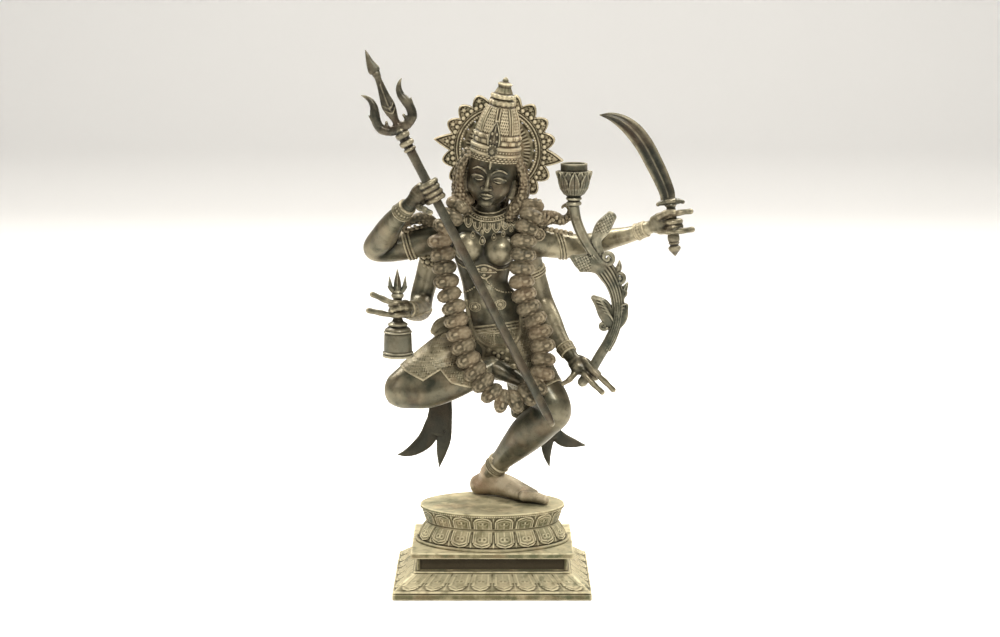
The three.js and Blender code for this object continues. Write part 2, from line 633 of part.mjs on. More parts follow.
// Flat sash ends that hang behind the legs and fork into two curled tails
function makeSashes() {
  const depth = 28;
  const sash = (rows) => limb(rows, { sides: 5, round: FLAT });
  const tail = (rows) => sash(rows.map(([x, z, wide, thick]) => [x, depth + 1, z, wide, thick]));
  return [
    sash([[-20, 28, 172, 10, 5], [-42, 34, 136, 11, 3], [-51, 31, 106, 10.5, 3], [-53, depth, 64, 13, 3]]),
    tail([[-58, 76, 8, 2.8], [-67, 58, 9.5, 3], [-81, 47, 7, 2.6], [-96, 43, 1.6, 1.6]]),
    tail([[-50, 76, 8, 2.8], [-50, 60, 8, 3], [-53, 46, 6.5, 2.6], [-54, 31, 1.6, 1.6]]),
    sash([[28, 32, 170, 10, 5], [44, 37, 136, 11, 3], [56, 34, 104, 10.5, 3], [62, depth, 60, 8, 3]]),
    tail([[62, 68, 6, 2.8], [73, 58, 7.5, 3], [84, 54, 5.5, 2.6], [95, 53.5, 1.6, 1.6]]),
    tail([[60, 68, 6, 2.8], [55, 52, 6.5, 3], [56, 42, 4.6, 2.6], [58, 31, 1.6, 1.6]]),
  ];
}

// What the hands hold, each about its own hold on the hand

function makeTrident() {
  const radius = TRIDENT_SHAFT_DIAMETER / 2;
  const foot = -TRIDENT_BELOW_HAND;
  const collar = TRIDENT_ABOVE_HAND;
  const shaft = turned([
    [0, foot - 6], [radius - 1, foot], [radius, foot + 8], [radius, collar - 18],
    [radius + 2.4, collar - 15], [radius + 2.4, collar - 10], [radius + 0.4, collar - 7.5],
    [radius + 2.4, collar - 4], [radius + 1.8, collar + 2], [0, collar + 2],
  ], 8);
  const plain = { sides: 5, round: FLAT };
  const length = TRIDENT_HEAD_LENGTH;
  const prong = (side) => tube([
    [side * 12, 0, 6, 4, 3.8], [side * 17.6, 0, 13, 4.4, 4], [side * 16.2, 0, 24, 5, 4.2],
    [side * 13.4, 0, 33, 4.2, 3.6], [side * 15.5, 0, 40, 3, 2.6], [side * 21, 0, 46, 0.5],
  ], plain);
  const head = [
    tube([
      [-16, 0, 7, 3.6, 3.4], [-8, 0, 4, 5, 4], [0, 0, 3.4, 5.6, 4.6], [8, 0, 4, 5, 4], [16, 0, 7, 3.6, 3.4],
    ], { sides: 5, front: UP }),
    tube([
      [0, 0, 4, 5, 4.4], [-0.5, 0, 15, 4.4, 4], [-1, 0, 25, 7, 4.6],
      [-0.6, 0, 40, 4.6, 3.6], [0.6, 0, 58, 3.2],
    ], plain),
    tube([
      [0.6, 0, 56, 3.2, 2.6], [0, 0, 62.5, 6.4, 3.2], [-0.6, 0, 72, 3.6, 2.4], [0, 0, length, 0.5],
    ], { ...plain, sides: 4 }),
    prong(-1),
    prong(1),
  ];
  const lean = THREE.MathUtils.degToRad(TRIDENT_HEAD_LEAN);
  head.forEach((piece) => piece.rotateY(lean).translate(0, 0, collar));
  const along = standing(place(JOINTS.tridentHand), new THREE.Vector3(...TRIDENT_AXIS));
  return [shaft, ...head].map((piece) => piece.applyMatrix4(along));
}

// The blade's middle line and its share of the full width, from the guard to the tip
const BLADE_LINE = [
  [-2.3, -1, 0.85], [-2.2, 8, 0.88], [-6.5, 23, 0.95], [-13.4, 42, 1], [-21.7, 61, 1],
  [-30.7, 74, 0.95], [-40, 83.5, 0.75], [-50.7, 89, 0.42], [-61, 91.5, 0.06],
];

function makeSword() {
  const radius = SWORD_GRIP_DIAMETER / 2;
  const half = SWORD_GRIP_LENGTH / 2;
  const hilt = turned([
    [0, -half - 9], [6.2, -half - 3], [6.4, -half], [radius - 0.6, -half + 3],
    [radius, half - 3], [radius + 1.4, half], [radius + 1, half + 3], [0, half + 3],
  ], 8);
  const tip = SWORD_GUARD_WIDTH / 2;
  const guard = tube([[-tip, 0, half - 1.4, 2, 3], [0, 0, half, 3, 4.4], [tip, 0, half - 1, 2, 3]], {
    sides: 5,
    front: UP,
    round: FLAT,
  });
  const wide = SWORD_BLADE_WIDTH / 2;
  const thick = SWORD_BLADE_THICKNESS / 2;
  const rows = BLADE_LINE.map(([x, z, share]) => [x, 0, half + z, wide * share, thick * Math.sqrt(share)]);
  const blade = tube(rows, { sides: 4, round: FLAT });
  const along = standing(place(JOINTS.swordHand), new THREE.Vector3(...SWORD_AXIS));
  return [hilt, guard, blade].map((piece) => piece.applyMatrix4(along));
}

function makeBell() {
  const mouth = BELL_MOUTH_DIAMETER / 2;
  const handle = BELL_HANDLE_DIAMETER / 2;
  const shoulder = -BELL_HANDLE_HEIGHT / 2;
  const rim = shoulder - BELL_BODY_HEIGHT - 9;
  const top = BELL_HANDLE_HEIGHT / 2;
  const cap = shoulder - 4;
  const body = turned([
    [0, cap - 5], [mouth - 4 - BELL_WALL, cap - 7], [mouth - BELL_WALL, rim],
    [mouth, rim], [mouth, rim + 3], [mouth - 1.6, rim + 4.5], [mouth - 1.6, rim + 14], [mouth - 3, cap],
    [mouth - 6, cap + 1], [mouth - 6, cap + 4], [handle + 2, shoulder + 2],
    [handle, shoulder + 6], [handle, top - 6], [handle + 2, top - 3.5], [handle, top - 1], [0, top + 1],
  ], 10);
  const plain = { sides: 4, round: FLAT };
  const leaf = (side) => tube([
    [side * 2, 0, top - 1, 2], [side * 6.8, 0, top + 5, 2.4], [side * 8, 0, top + 14, 0.4],
  ], plain);
  const bud = tube([
    [0, 0, top - 2, 3.4], [0, 0, top + 8, 3.8], [0, 0, top + BELL_PRONG_HEIGHT, 0.5],
  ], { ...plain, sides: 5 });
  const along = new THREE.Matrix4().makeTranslation(place(JOINTS.bellHand));
  return [body, bud, leaf(-1), leaf(1)].map((piece) => piece.applyMatrix4(along));
}

// The stalk's line in parts, from its foot in the hand to the neck of the cup
const STALK_LINE = [
  [90, -21.5, 129], [98, -21, 140], [107, -18.5, 155], [116.5, -15, 170], [123.5, -13, 187], [125, -12, 204],
  [121.5, -12, 221], [114, -12, 238], [102, -12, 254], [90, -12, 273], [83, -12, 290], [80.5, -12, 305],
];

const makeStem = (radius) => tube(STALK_LINE.map((p) => [...place(p), radius]));

function makeStalk() {
  const radius = STALK_DIAMETER / 2;
  const stem = makeStem(radius);
  const cup = LOTUS_CUP_DIAMETER / 2;
  const inside = cup - 3 - LOTUS_CUP_WALL;
  const top = LOTUS_CUP_HEIGHT + 8;
  const petals = 7;
  const bowl = skin([
    [radius, 0, 0, 0], [radius + 2.6, 5, 0, 0], [radius + 2, 8, 0, 0], [cup - 3.4, 15, 1, 0],
    [cup - 1, 34, 1.6, -4], [cup - 3, 34.5, 0, 0], [cup - 3, top, 0, 0],
    [inside, top, 0, 0], [inside - 2, 22, 0, 0],
  ].map(([r, h, relief, dip]) => Array.from({ length: 2 * petals }, (unused, k) => {
    const angle = (Math.PI * k) / petals;
    const out = k % 2 ? r : r + relief;
    return new THREE.Vector3(out * Math.cos(angle), out * Math.sin(angle), h + (k % 2 ? dip : 0));
  }))).translate(...place(STALK_LINE.at(-1)));
  const leaf = (rows) => limb(rows, { sides: 4, round: FLAT });
  const leaves = [
    leaf([[105, -12, 256, 6, 4], [103, -12, 272, 5, 4], [110, -12, 284, 8, 4.6], [118, -12, 296, 5, 3.4]]),
    leaf([[109, -12, 243, 9, 5], [100, -12, 246, 8.6, 5], [90, -12, 247.5, 9, 5], [80, -12, 252.5, 3, 3]]),
    leaf([[100, -12, 251, 6, 5], [112, -12, 240, 10, 5.4], [121, -12, 224, 8, 5.4], [125, -12, 206, 6.4, 5.4]]),
    leaf([[108, -12, 248, 4], [115, -12, 247, 5, 4], [117, -12, 256, 5, 4], [109, -12, 260, 2.6]]),
    leaf([[117, -12, 229, 4], [127, -12, 228, 5, 4], [128, -12, 239, 4, 3.4], [125, -12, 248, 1.4]]),
    leaf([[122, -12, 210, 4, 3.4], [129, -12, 216, 4.4, 3.4], [134, -12, 226, 1.4]]),
    leaf([[121, -12, 184, 6, 4.4], [114, -12, 195, 8.6, 4.4], [109, -12, 206, 7.4, 4], [101, -12, 212, 3, 3]]),
    leaf([[118, -14, 178, 4, 3.4], [111, -14, 182, 4, 3.4], [109, -14, 188, 2.6]]),
    leaf([[122, -13, 182, 5, 4], [129, -12, 192, 5.6, 4], [132.5, -12, 204, 3, 3]]),
  ];
  return [stem, bowl, ...leaves];
}

// A bar that passes through a hand, a clearance wider all round than the piece that is held there
function heldBar(at, axis, diameter, below, above) {
  const sides = 8;
  const radius = (diameter / 2 + GRIP_CLEARANCE) / Math.cos(Math.PI / sides);
  return turned([[0, -below], [radius, -below], [radius, above], [0, above]], sides)
    .applyMatrix4(standing(place(at), new THREE.Vector3(...axis)));
}

function makeFigure() {
  const whole = join([
    ...makeTrunk(), ...makeArms(), ...makeLegs(), ...makeHands(), ...makeHeadGroup(), ...makeHair(),
    ...makeGarland(), ...makeJewellery(), ...makeShoulderOrnaments(), ...makeDress(), ...makeSashes(),
  ]);
  const belowSole = new THREE.BoxGeometry(PLINTH_WIDTH, PLINTH_DEPTH, 40).translate(0, 0, -20);
  const bars = [
    heldBar(JOINTS.tridentHand, TRIDENT_AXIS, TRIDENT_SHAFT_DIAMETER, TRIDENT_BELOW_HAND, 30),
    heldBar(JOINTS.swordHand, SWORD_AXIS, SWORD_GRIP_DIAMETER, 20, 20),
    heldBar(JOINTS.bellHand, [0, 0, 1], BELL_HANDLE_DIAMETER, 16, 16),
    makeStem(STALK_DIAMETER / 2 + 1.5 * GRIP_CLEARANCE),
  ];
  return [belowSole, ...bars].reduce((left, cut) => left.subtract(toSolid(cut)), whole);
}

// The assembly

const BRONZE = { figure: 0x6b6450, held: 0x5d6350, pedestal: 0x77735a };

function bronze(colour) {
  return new THREE.MeshStandardMaterial({ color: colour, roughness: 0.62, metalness: 0.55 });
}

function named(name, solid, colour) {
  const mesh = new THREE.Mesh(toGeometry(solid), bronze(colour));
  mesh.name = name;
  return mesh;
}

const group = new THREE.Group();
group.add(named('pedestal', makePedestal(), BRONZE.pedestal));

const standingFigure = new THREE.Group();
standingFigure.position.z = pedestalTop + SEAT_GAP;
standingFigure.add(
  named('figure', makeFigure(), BRONZE.figure),
  named('trident', join(makeTrident()), BRONZE.held),
  named('sword', join(makeSword()), BRONZE.held),
  named('bell', join(makeBell()), BRONZE.held),
  named('lotus_stalk', join(makeStalk()), BRONZE.held),
);
group.add(standingFigure);

export default group;
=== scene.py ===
# A cast bronze Kali on a lotus pedestal, with the patina and carving seen close up.
# Sizes are in millimetres until a piece is poured, and the viewer looks along +Y.

import math

import bpy
import numpy as np
import openvdb
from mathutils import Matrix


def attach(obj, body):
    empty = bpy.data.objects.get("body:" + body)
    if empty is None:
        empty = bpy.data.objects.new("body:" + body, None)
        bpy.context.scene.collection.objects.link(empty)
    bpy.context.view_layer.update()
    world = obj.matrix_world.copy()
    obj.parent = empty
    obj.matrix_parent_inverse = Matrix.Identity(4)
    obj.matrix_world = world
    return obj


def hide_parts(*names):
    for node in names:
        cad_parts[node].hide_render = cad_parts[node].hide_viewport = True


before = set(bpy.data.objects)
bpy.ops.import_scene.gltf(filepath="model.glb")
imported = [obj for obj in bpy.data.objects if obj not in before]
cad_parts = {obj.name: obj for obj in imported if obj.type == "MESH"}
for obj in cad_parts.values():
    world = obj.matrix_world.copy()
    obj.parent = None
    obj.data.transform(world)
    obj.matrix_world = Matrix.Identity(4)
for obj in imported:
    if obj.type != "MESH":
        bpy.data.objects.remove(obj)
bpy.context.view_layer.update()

# The ground is a sheet of pale paper that curves up behind the statue.
# The light is plain studio light: a broad lamp high in front, weak ones beside and above it,
# and two that light the paper behind.
PAPER_COLOUR = (0.97, 0.965, 0.95, 1)
PAPER_LINE = [(-4.0, 0.0), (1.4, 0.0), (2.2, 0.12), (2.8, 0.55), (3.1, 1.3), (3.2, 4.5)]
PAPER_HALF_WIDTH = 5.0
LAMP_COLOUR = (1.0, 0.965, 0.91)
ROOM_COLOUR = (1.0, 0.99, 0.97, 1)
ROOM_STRENGTH = 0.17
CAMERA_AT = (0.0078, -2.0706, 0.6202)
CAMERA_TILT = 80.4
LENS_LENGTH = 75.6
SENSOR_WIDTH = 36

paper = bpy.data.meshes.new("ground")
paper_points = [(x, y, z) for y, z in PAPER_LINE for x in (-PAPER_HALF_WIDTH, PAPER_HALF_WIDTH)]
paper_faces = [(2 * i, 2 * i + 1, 2 * i + 3, 2 * i + 2) for i in range(len(PAPER_LINE) - 1)]
paper.from_pydata(paper_points, [], paper_faces)
paper.shade_smooth()
ground = bpy.data.objects.new("ground", paper)
bpy.context.collection.objects.link(ground)

paper_finish = bpy.data.materials.new("paper")
paper_finish.use_nodes = True
paper_shader = paper_finish.node_tree.nodes["Principled BSDF"]
paper_shader.inputs["Base Color"].default_value = PAPER_COLOUR
paper_shader.inputs["Roughness"].default_value = 0.9
paper.materials.append(paper_finish)

bpy.context.scene.view_settings.view_transform = "Standard"
room = bpy.data.worlds.new("studio")
room.use_nodes = True
room.node_tree.nodes["Background"].inputs["Color"].default_value = ROOM_COLOUR
room.node_tree.nodes["Background"].inputs["Strength"].default_value = ROOM_STRENGTH
bpy.context.scene.world = room

for lamp_name, place, turn, size, power in [
    ("key", (0.6, -2.0, 2.0), (51, 0, 16), 0.62, 76),
    ("fill", (-1.9, -1.5, 1.3), (66, 0, -52), 0.9, 12),
    ("top", (0.1, 0.3, 2.4), (-7, 0, 0), 1.3, 26),
    ("backdrop_left", (-1.3, 1.0, 2.4), (-58, 0, 0), 1.4, 146),
    ("backdrop_right", (1.3, 1.0, 2.4), (-58, 0, 0), 1.4, 134),
]:
    lamp = bpy.data.lights.new(lamp_name, "AREA")
    lamp.size = size
    lamp.energy = power
    lamp.color = LAMP_COLOUR
    holder = bpy.data.objects.new(lamp_name, lamp)
    holder.location = place
    holder.rotation_euler = [math.radians(angle) for angle in turn]
    bpy.context.collection.objects.link(holder)

lens = bpy.data.cameras.new("camera")
lens.sensor_width = SENSOR_WIDTH
lens.lens = LENS_LENGTH
camera = bpy.data.objects.new("camera", lens)
camera.location = CAMERA_AT
camera.rotation_euler = (math.radians(CAMERA_TILT), 0, 0)
bpy.context.collection.objects.link(camera)
bpy.context.scene.camera = camera

# The plinth of the pedestal is cast in bronze with the throne above it: a plate, a band of
# hanging petals, a ledge, a recessed dado with corner strips, and a plain slab.
PLINTH_WIDTH = 197.0
PLINTH_DEPTH = 148.0
BAND_FOOT = 9.0
BAND_TOP = 22.0
BAND_RUN = 18.0
BAND_PITCH = 24.6
BAND_PETALS = (8, 6)
BAND_SAMPLES = 16
LEDGE_INSET = 20.3
DADO_FOOT = 23.4
DADO_INSET = 23.5
PANEL_SINK = 1.3
CORNER_STRIP = 3.8
SLAB_FOOT = 37.4
SLAB_TOP = 43.1
SLAB_INSET = 17.5
FIGURE_LIFT = 80.7


def patina(name, metal, green, brown, dust, rubbed_and_highlight, pit, gloss=0.5, shine=0.3, veil=0.3, wax=0.0):
    """Bronze under an artificial patina: clouded colour, a veil of dust, crests polished light by wear and
    handling with painted highlights laid on them, and dark patina in the creases deepened as painted shade.
    """
    metal, green, brown, dust, rubbed_and_highlight, pit = ((*tone, 1) for tone in (metal, green, brown, dust, rubbed_and_highlight, pit))
    finish = bpy.data.materials.new(name)
    finish.use_nodes = True
    tree = finish.node_tree
    shader = tree.nodes["Principled BSDF"]
    where = tree.nodes.new("ShaderNodeTexCoord").outputs["Object"]

    def cloud(scale, detail, low, high):
        noise = tree.nodes.new("ShaderNodeTexNoise")
        noise.inputs["Scale"].default_value = scale
        noise.inputs["Detail"].default_value = detail
        tree.links.new(where, noise.inputs["Vector"])
        spread = tree.nodes.new("ShaderNodeMapRange")
        spread.inputs["From Min"].default_value = low
        spread.inputs["From Max"].default_value = high
        tree.links.new(noise.outputs["Fac"], spread.inputs["Value"])
        return spread.outputs["Result"]

    def blend(amount, below, above, way="MIX"):
        mix = tree.nodes.new("ShaderNodeMix")
        mix.data_type = "RGBA"
        mix.blend_type = way
        for socket, value in ((0, amount), (6, below), (7, above)):
            if isinstance(value, (tuple, float)):
                mix.inputs[socket].default_value = value
            else:
                tree.links.new(value, mix.inputs[socket])
        return mix.outputs[2]

    def sums(kind, one, other):
        step = tree.nodes.new("ShaderNodeMath")
        step.operation = kind
        step.use_clamp = True
        for socket, value in ((0, one), (1, other)):
            if isinstance(value, float):
                step.inputs[socket].default_value = value
            else:
                tree.links.new(value, step.inputs[socket])
        return step.outputs[0]

    def painted(layer):
        reader = tree.nodes.new("ShaderNodeAttribute")
        reader.attribute_name = layer
        return reader.outputs["Fac"]

    colour = blend(cloud(17, 5, 0.42, 0.58), metal, green)
    colour = blend(cloud(38, 6, 0.5, 0.64), colour, brown)
    thin = sums("MULTIPLY", cloud(75, 7, 0.48, 0.72), veil)
    colour = blend(thin, colour, dust)
    fine = cloud(900, 3, 0.3, 0.7)
    grains = blend(fine, (0.6, 0.6, 0.58, 1), (1.3, 1.3, 1.26, 1))
    colour = blend(0.5, colour, grains, "MULTIPLY")
    hollow = sums("MULTIPLY", painted("dust"), sums("ADD", cloud(160, 4, 0.2, 0.6), 0.35))
    colour = blend(hollow, colour, dust)
    # Crests and touched places take the light colour of wear; the same layer holds painted highlights.
    worn_and_highlit = sums("MULTIPLY", painted("crest_and_highlight"), sums("ADD", cloud(120, 4, 0.3, 0.6), 0.25))
    colour = blend(worn_and_highlit, colour, rubbed_and_highlight)
    # Painted shade: creases go towards the near-black pit colour, on top of the dark patina of the hollows.
    colour = blend(painted("crease"), colour, pit)
    tree.links.new(colour, shader.inputs["Base Color"])
    matt = sums("MULTIPLY", sums("ADD", hollow, thin), 0.3)
    rough = sums("ADD", matt, sums("ADD", sums("MULTIPLY", fine, 0.14), gloss - 0.07))
    tree.links.new(rough, shader.inputs["Roughness"])
    shader.inputs["Metallic"].default_value = shine
    shader.inputs["Coat Weight"].default_value = wax
    shader.inputs["Coat Roughness"].default_value = 0.22
    shader.inputs["Specular IOR Level"].default_value = 0.28
    shader.inputs["Specular Tint"].default_value = (0.55, 0.5, 0.38, 1)
    bump = tree.nodes.new("ShaderNodeBump")
    bump.inputs["Strength"].default_value = 0.4
    bump.inputs["Distance"].default_value = 0.0004
    grit = sums("ADD", sums("MULTIPLY", fine, 0.5), sums("MULTIPLY", cloud(240, 4, 0.2, 0.8), 0.5))
    tree.links.new(grit, bump.inputs["Height"])
    tree.links.new(bump.outputs["Normal"], shader.inputs["Normal"])
    return finish


PEDESTAL_PATINA = patina(
    "pedestal_patina",
    metal=(0.115, 0.102, 0.0559),
    green=(0.0718, 0.0761, 0.0431),
    brown=(0.136, 0.105, 0.0589),
    dust=(0.399, 0.352, 0.221),
    rubbed_and_highlight=(0.506, 0.451, 0.292),
    pit=(0.0287, 0.023, 0.0136),
    gloss=0.6,
    shine=0.15,
    veil=0.6,
)

poured = []


def pour(name, points, faces, finish, node="figure", slot="figure_bronze", lift=FIGURE_LIFT, crease=None):
    """Makes one bronze piece from points in millimetres, in the place of a CAD node's solid."""
    mesh = bpy.data.meshes.new(name)
    mesh.from_pydata((np.asarray(points, float) + (0, 0, lift)) * 0.001, [], faces)
    mesh.shade_smooth()
    if crease:
        mesh.set_sharp_from_angle(angle=math.radians(crease))
    mesh.materials.append(finish)
    piece = bpy.data.objects.new(name, mesh)
    bpy.context.collection.objects.link(piece)
    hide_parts(node)
    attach(piece, "root")
    poured.append(piece)


def skin(rings):
    """Quads over closed rings of points, with a fan over the first and the last."""
    rings = np.asarray(rings, float)
    count = rings.shape[1]
    rows = np.arange(len(rings) - 1)[:, None] * count
    here = rows + np.arange(count)
    beyond = rows + (np.arange(count) + 1) % count
    faces = np.stack([here, beyond, beyond + count, here + count], -1).reshape(-1, 4).tolist()
    points = rings.reshape(-1, 3)
    first, last = len(points), len(points) + 1
    end = len(points) - count
    points = np.vstack([points, rings[0].mean(0), rings[-1].mean(0)])
    faces += [[first, (i + 1) % count, i] for i in range(count)]
    faces += [[last, end + i, end + (i + 1) % count] for i in range(count)]
    return points, faces


def gather(parts):
    """Several skins as one set of points and faces."""
    points, faces = [], []
    start = 0
    for some_points, some_faces in parts:
        points.append(some_points)
        faces += [[start + i for i in face] for face in some_faces]
        start += len(some_points)
    return np.vstack(points), faces


def ease(low, high, value):
    """0 at low, 1 at high, and a smooth change between; it falls where low is the greater."""
    t = np.clip((value - low) / (high - low), 0, 1)
    return t * t * (3 - 2 * t)


def petal_relief(across, along, pitch, tall):
    """Height of a carved petal that hangs from along = tall down to 0; across is 0 in its middle."""
    x = np.abs(across)
    half = 0.445 * pitch
    toe = 0.14 * tall * (x / half) ** 2 + 0.3 * tall * np.clip(x / half, 0, 1) ** 5
    toe = toe - 0.05 * tall * np.exp(-(x / 1.3) ** 2)
    inside = np.minimum(half - x, (along - 0.05 * tall - toe) * 0.8)
    body = ease(-0.5, 0.7, inside)
    rim = np.exp(-((inside - 0.9) / 0.55) ** 2)
    groove = np.exp(-((inside - 2.0) / 0.5) ** 2)
    second = np.exp(-((inside - 3.0) / 0.55) ** 2)
    dish = ease(3.4, 4.6, inside)
    curl = np.hypot(x - 2.3, along - 0.55 * tall)
    stem = np.exp(-(x / 0.7) ** 2) * ease(0.3, 0.5, along / tall) * 0.4
    scroll = dish * (np.exp(-((curl - 2.0) / 0.6) ** 2) * 0.55 + stem)
    between = np.abs(pitch / 2 - x)
    spear = np.exp(-(between / 0.55) ** 2) * 0.5 * ease(0.9, 0.75, along / tall)
    rims = 0.42 * rim - 0.5 * groove + 0.3 * second
    return 1.15 * body + rims - 0.35 * dish + scroll + spear * (1 - body)


def rectangle_ring(inset, z, relief):
    """A level ring round the plinth at an inset; relief moves each sample outwards."""
    ring = []
    for side in range(4):
        length, other = (PLINTH_WIDTH, PLINTH_DEPTH) if side % 2 == 0 else (PLINTH_DEPTH, PLINTH_WIDTH)
        count = BAND_PETALS[side % 2] * BAND_SAMPLES
        share = np.arange(count) / count
        along = (share - 0.5) * (length - 2 * inset)
        out = -(other / 2 - inset) - relief(share * BAND_PETALS[side % 2] % 1, along, length - 2 * inset)
        turn = side * math.pi / 2
        ring.append(np.stack([
            along * math.cos(turn) - out * math.sin(turn),
            along * math.sin(turn) + out * math.cos(turn),
            np.full(count, z),
        ], -1))
    return np.vstack(ring)


def plain(share, along, length):
    """No relief."""
    return np.zeros_like(share)


def sunk_panel(depth):
    """The relief of a side sunk by a depth between its corner strips."""
    def sunk(share, along, length):
        return -depth * ease(length / 2 - CORNER_STRIP, length / 2 - CORNER_STRIP - 0.8, np.abs(along))
    return sunk


def petal_row(t):
    """The relief of the hanging petals at a share of the band's slope."""
    def carved(share, along, length):
        slope = math.hypot(BAND_RUN, BAND_TOP - BAND_FOOT)
        relief = petal_relief((share - 0.5) * BAND_PITCH, 0.6 + t * slope, BAND_PITCH, slope)
        return np.clip(relief, 0, None) * ease(1.0, 0.93, t) * ease(0, 0.03, t) * 0.95
    return carved


def make_plinth():
    """Stacks rings from the underside to the slab; each row is an inset, a height and a relief."""
    rows = [(1.2, 0, plain), (0.3, 0.3, plain), (0, 1.2, plain), (0, 5.4, plain), (0.25, 5.8, plain),
            (0.9, 6.0, plain), (0.9, 6.7, plain), (0.3, 6.9, plain), (0.15, 7.6, plain), (0.3, 8.6, plain),
            (1.0, BAND_FOOT, plain)]
    for t in np.linspace(0, 1, 40):
        height = BAND_FOOT + 0.2 + (BAND_TOP - BAND_FOOT - 0.2) * t ** 0.93
        rows.append((2.7 + (BAND_RUN - 0.2) * t, height, petal_row(t)))
    rows += [(LEDGE_INSET, BAND_TOP + 0.2, plain), (LEDGE_INSET, DADO_FOOT - 0.3, plain),
             (LEDGE_INSET + 0.4, DADO_FOOT, plain), (DADO_INSET - 0.1, DADO_FOOT + 0.1, plain),
             (DADO_INSET, DADO_FOOT + 1.4, sunk_panel(0)),
             (DADO_INSET, DADO_FOOT + 1.7, sunk_panel(PANEL_SINK)),
             (DADO_INSET, SLAB_FOOT - 1.3, sunk_panel(PANEL_SINK)),
             (DADO_INSET, SLAB_FOOT - 1.0, sunk_panel(0)), (DADO_INSET, SLAB_FOOT - 0.1, plain),
             (SLAB_INSET + 0.7, SLAB_FOOT, plain), (SLAB_INSET + 0.1, SLAB_FOOT + 0.6, plain),
             (SLAB_INSET, SLAB_TOP - 0.9, plain), (SLAB_INSET + 0.4, SLAB_TOP - 0.2, plain),
             (SLAB_INSET + 1.3, SLAB_TOP, plain), (32, SLAB_TOP, plain)]
    edged = []
    for one, other in zip(rows, rows[1:]):
        edged.append(one)
        gap = math.hypot(other[0] - one[0], other[1] - one[1])
        if gap > 2 and one[2] is other[2]:
            for t in (0.7 / gap, 1 - 0.7 / gap):
                edged.append((one[0] + (other[0] - one[0]) * t, one[1] + (other[1] - one[1]) * t, one[2]))
    edged.append(rows[-1])
    return skin([rectangle_ring(*row) for row in edged])


pour("plinth", *make_plinth(), PEDESTAL_PATINA, "pedestal", "pedestal_bronze", lift=0, crease=38)

# The throne is an open lotus, oval in plan, in one casting with the plinth: a ring, petals that
# hang down from the waist, petals that rise from it, a row of beads and a flat top that the
# dancer stands on.
RING_HALVES = (78.4, 53.9)
WAIST_HALVES = (74.9, 50.4)
LOTUS_FOOT = 46.1
LOTUS_WAIST = 62.1
LOTUS_TOP = 80.4
THRONE_PETALS = 17
THRONE_SAMPLES = 20
THRONE_SEAM = 271


def make_throne():
    """Stacks oval rings, with the samples and the petals spaced evenly round the waist."""
    count = THRONE_PETALS * THRONE_SAMPLES
    fine = np.linspace(0, 2 * math.pi, 4001)
    step = np.hypot(WAIST_HALVES[0] * np.sin(fine), WAIST_HALVES[1] * np.cos(fine))
    length = np.concatenate([[0], np.cumsum((step[1:] + step[:-1]) / 2 * np.diff(fine))])
    start = np.interp(math.radians(THRONE_SEAM), fine, length)
    share = np.arange(count) / count
    angle = np.interp((start + share * length[-1]) % length[-1], length, fine)
    pitch = length[-1] / THRONE_PETALS
    across = ((share * THRONE_PETALS) % 1 - 0.5) * pitch
    beads = np.abs(np.sin(share * THRONE_PETALS * 10 * math.pi))

    def ring(inset, z, relief=0.0):
        out = relief - inset
        return np.stack([
            (RING_HALVES[0] + out) * np.cos(angle),
            (RING_HALVES[1] + out) * np.sin(angle),
            np.full(count, z),
        ], -1)

    rings = [ring(0.3, SLAB_TOP - 0.4)]
    for turn in np.linspace(-70, 80, 8):
        bulge = 1.5 * math.cos(math.radians(turn)), 1.5 * math.sin(math.radians(turn))
        rings.append(ring(1.5 - bulge[0], SLAB_TOP + 1.4 + bulge[1]))
    rings.append(ring(3.0, LOTUS_FOOT - 0.2))
    tall = LOTUS_WAIST - LOTUS_FOOT
    for t in np.linspace(0, 1, 34):
        inset = 4.4 + 7.4 * t ** 1.25 - 0.9 * math.sin(math.pi * t)
        relief = np.clip(petal_relief(across, t * (tall + 2) + 0.4, pitch, tall + 2), 0, None)
        rings.append(ring(inset, LOTUS_FOOT + tall * t, relief * ease(1.0, 0.9, t)))
    rings += [ring(12.4, LOTUS_WAIST + 0.2), ring(12.3, LOTUS_WAIST + 0.7)]
    rise = LOTUS_TOP - 4.6 - LOTUS_WAIST
    for t in np.linspace(0, 1, 26):
        inset = 12.2 - 4.4 * t ** 1.5 - 0.6 * math.sin(math.pi * t)
        relief = np.clip(petal_relief(across, (1 - t) * (rise + 1) + 0.4, pitch, rise + 1), 0, None)
        rings.append(ring(inset, LOTUS_WAIST + 0.9 + rise * t, relief * ease(0, 0.1, t) * 0.85))
    foot = LOTUS_TOP - 3.5
    rings += [ring(6.8, foot, 0.1 + 0.5 * beads), ring(6.1, foot + 0.5, 0.1 + 0.8 * beads),
              ring(5.9, foot + 1.0, 0.8 * beads), ring(6.0, foot + 1.4, 0.3 * beads),
              ring(5.7, LOTUS_TOP - 1.8), ring(5.5, LOTUS_TOP - 1.2), ring(5.5, LOTUS_TOP - 0.5),
              ring(5.8, LOTUS_TOP - 0.1), ring(6.6, LOTUS_TOP), ring(30, LOTUS_TOP)]
    return skin(rings)


pour("lotus_throne", *make_throne(), PEDESTAL_PATINA, "pedestal", "pedestal_bronze", lift=0, crease=48)

# The body was modelled in wax round a core and cast in one pour with the limbs. Its bare skin is
# smooth: a narrow waist, full hips, round shoulders and tapering limbs, ended under the bracelets.
FIGURE_PATINA = patina(
    "figure_patina",
    metal=(0.0299, 0.0268, 0.017),
    green=(0.0175, 0.0206, 0.0149),
    brown=(0.0453, 0.0329, 0.02),
    dust=(0.162, 0.137, 0.0878),
    rubbed_and_highlight=(0.291, 0.257, 0.171),
    pit=(0.00721, 0.00618, 0.00412),
    gloss=0.34,
    shine=0.5,
    veil=0.3,
    wax=0.14,
)


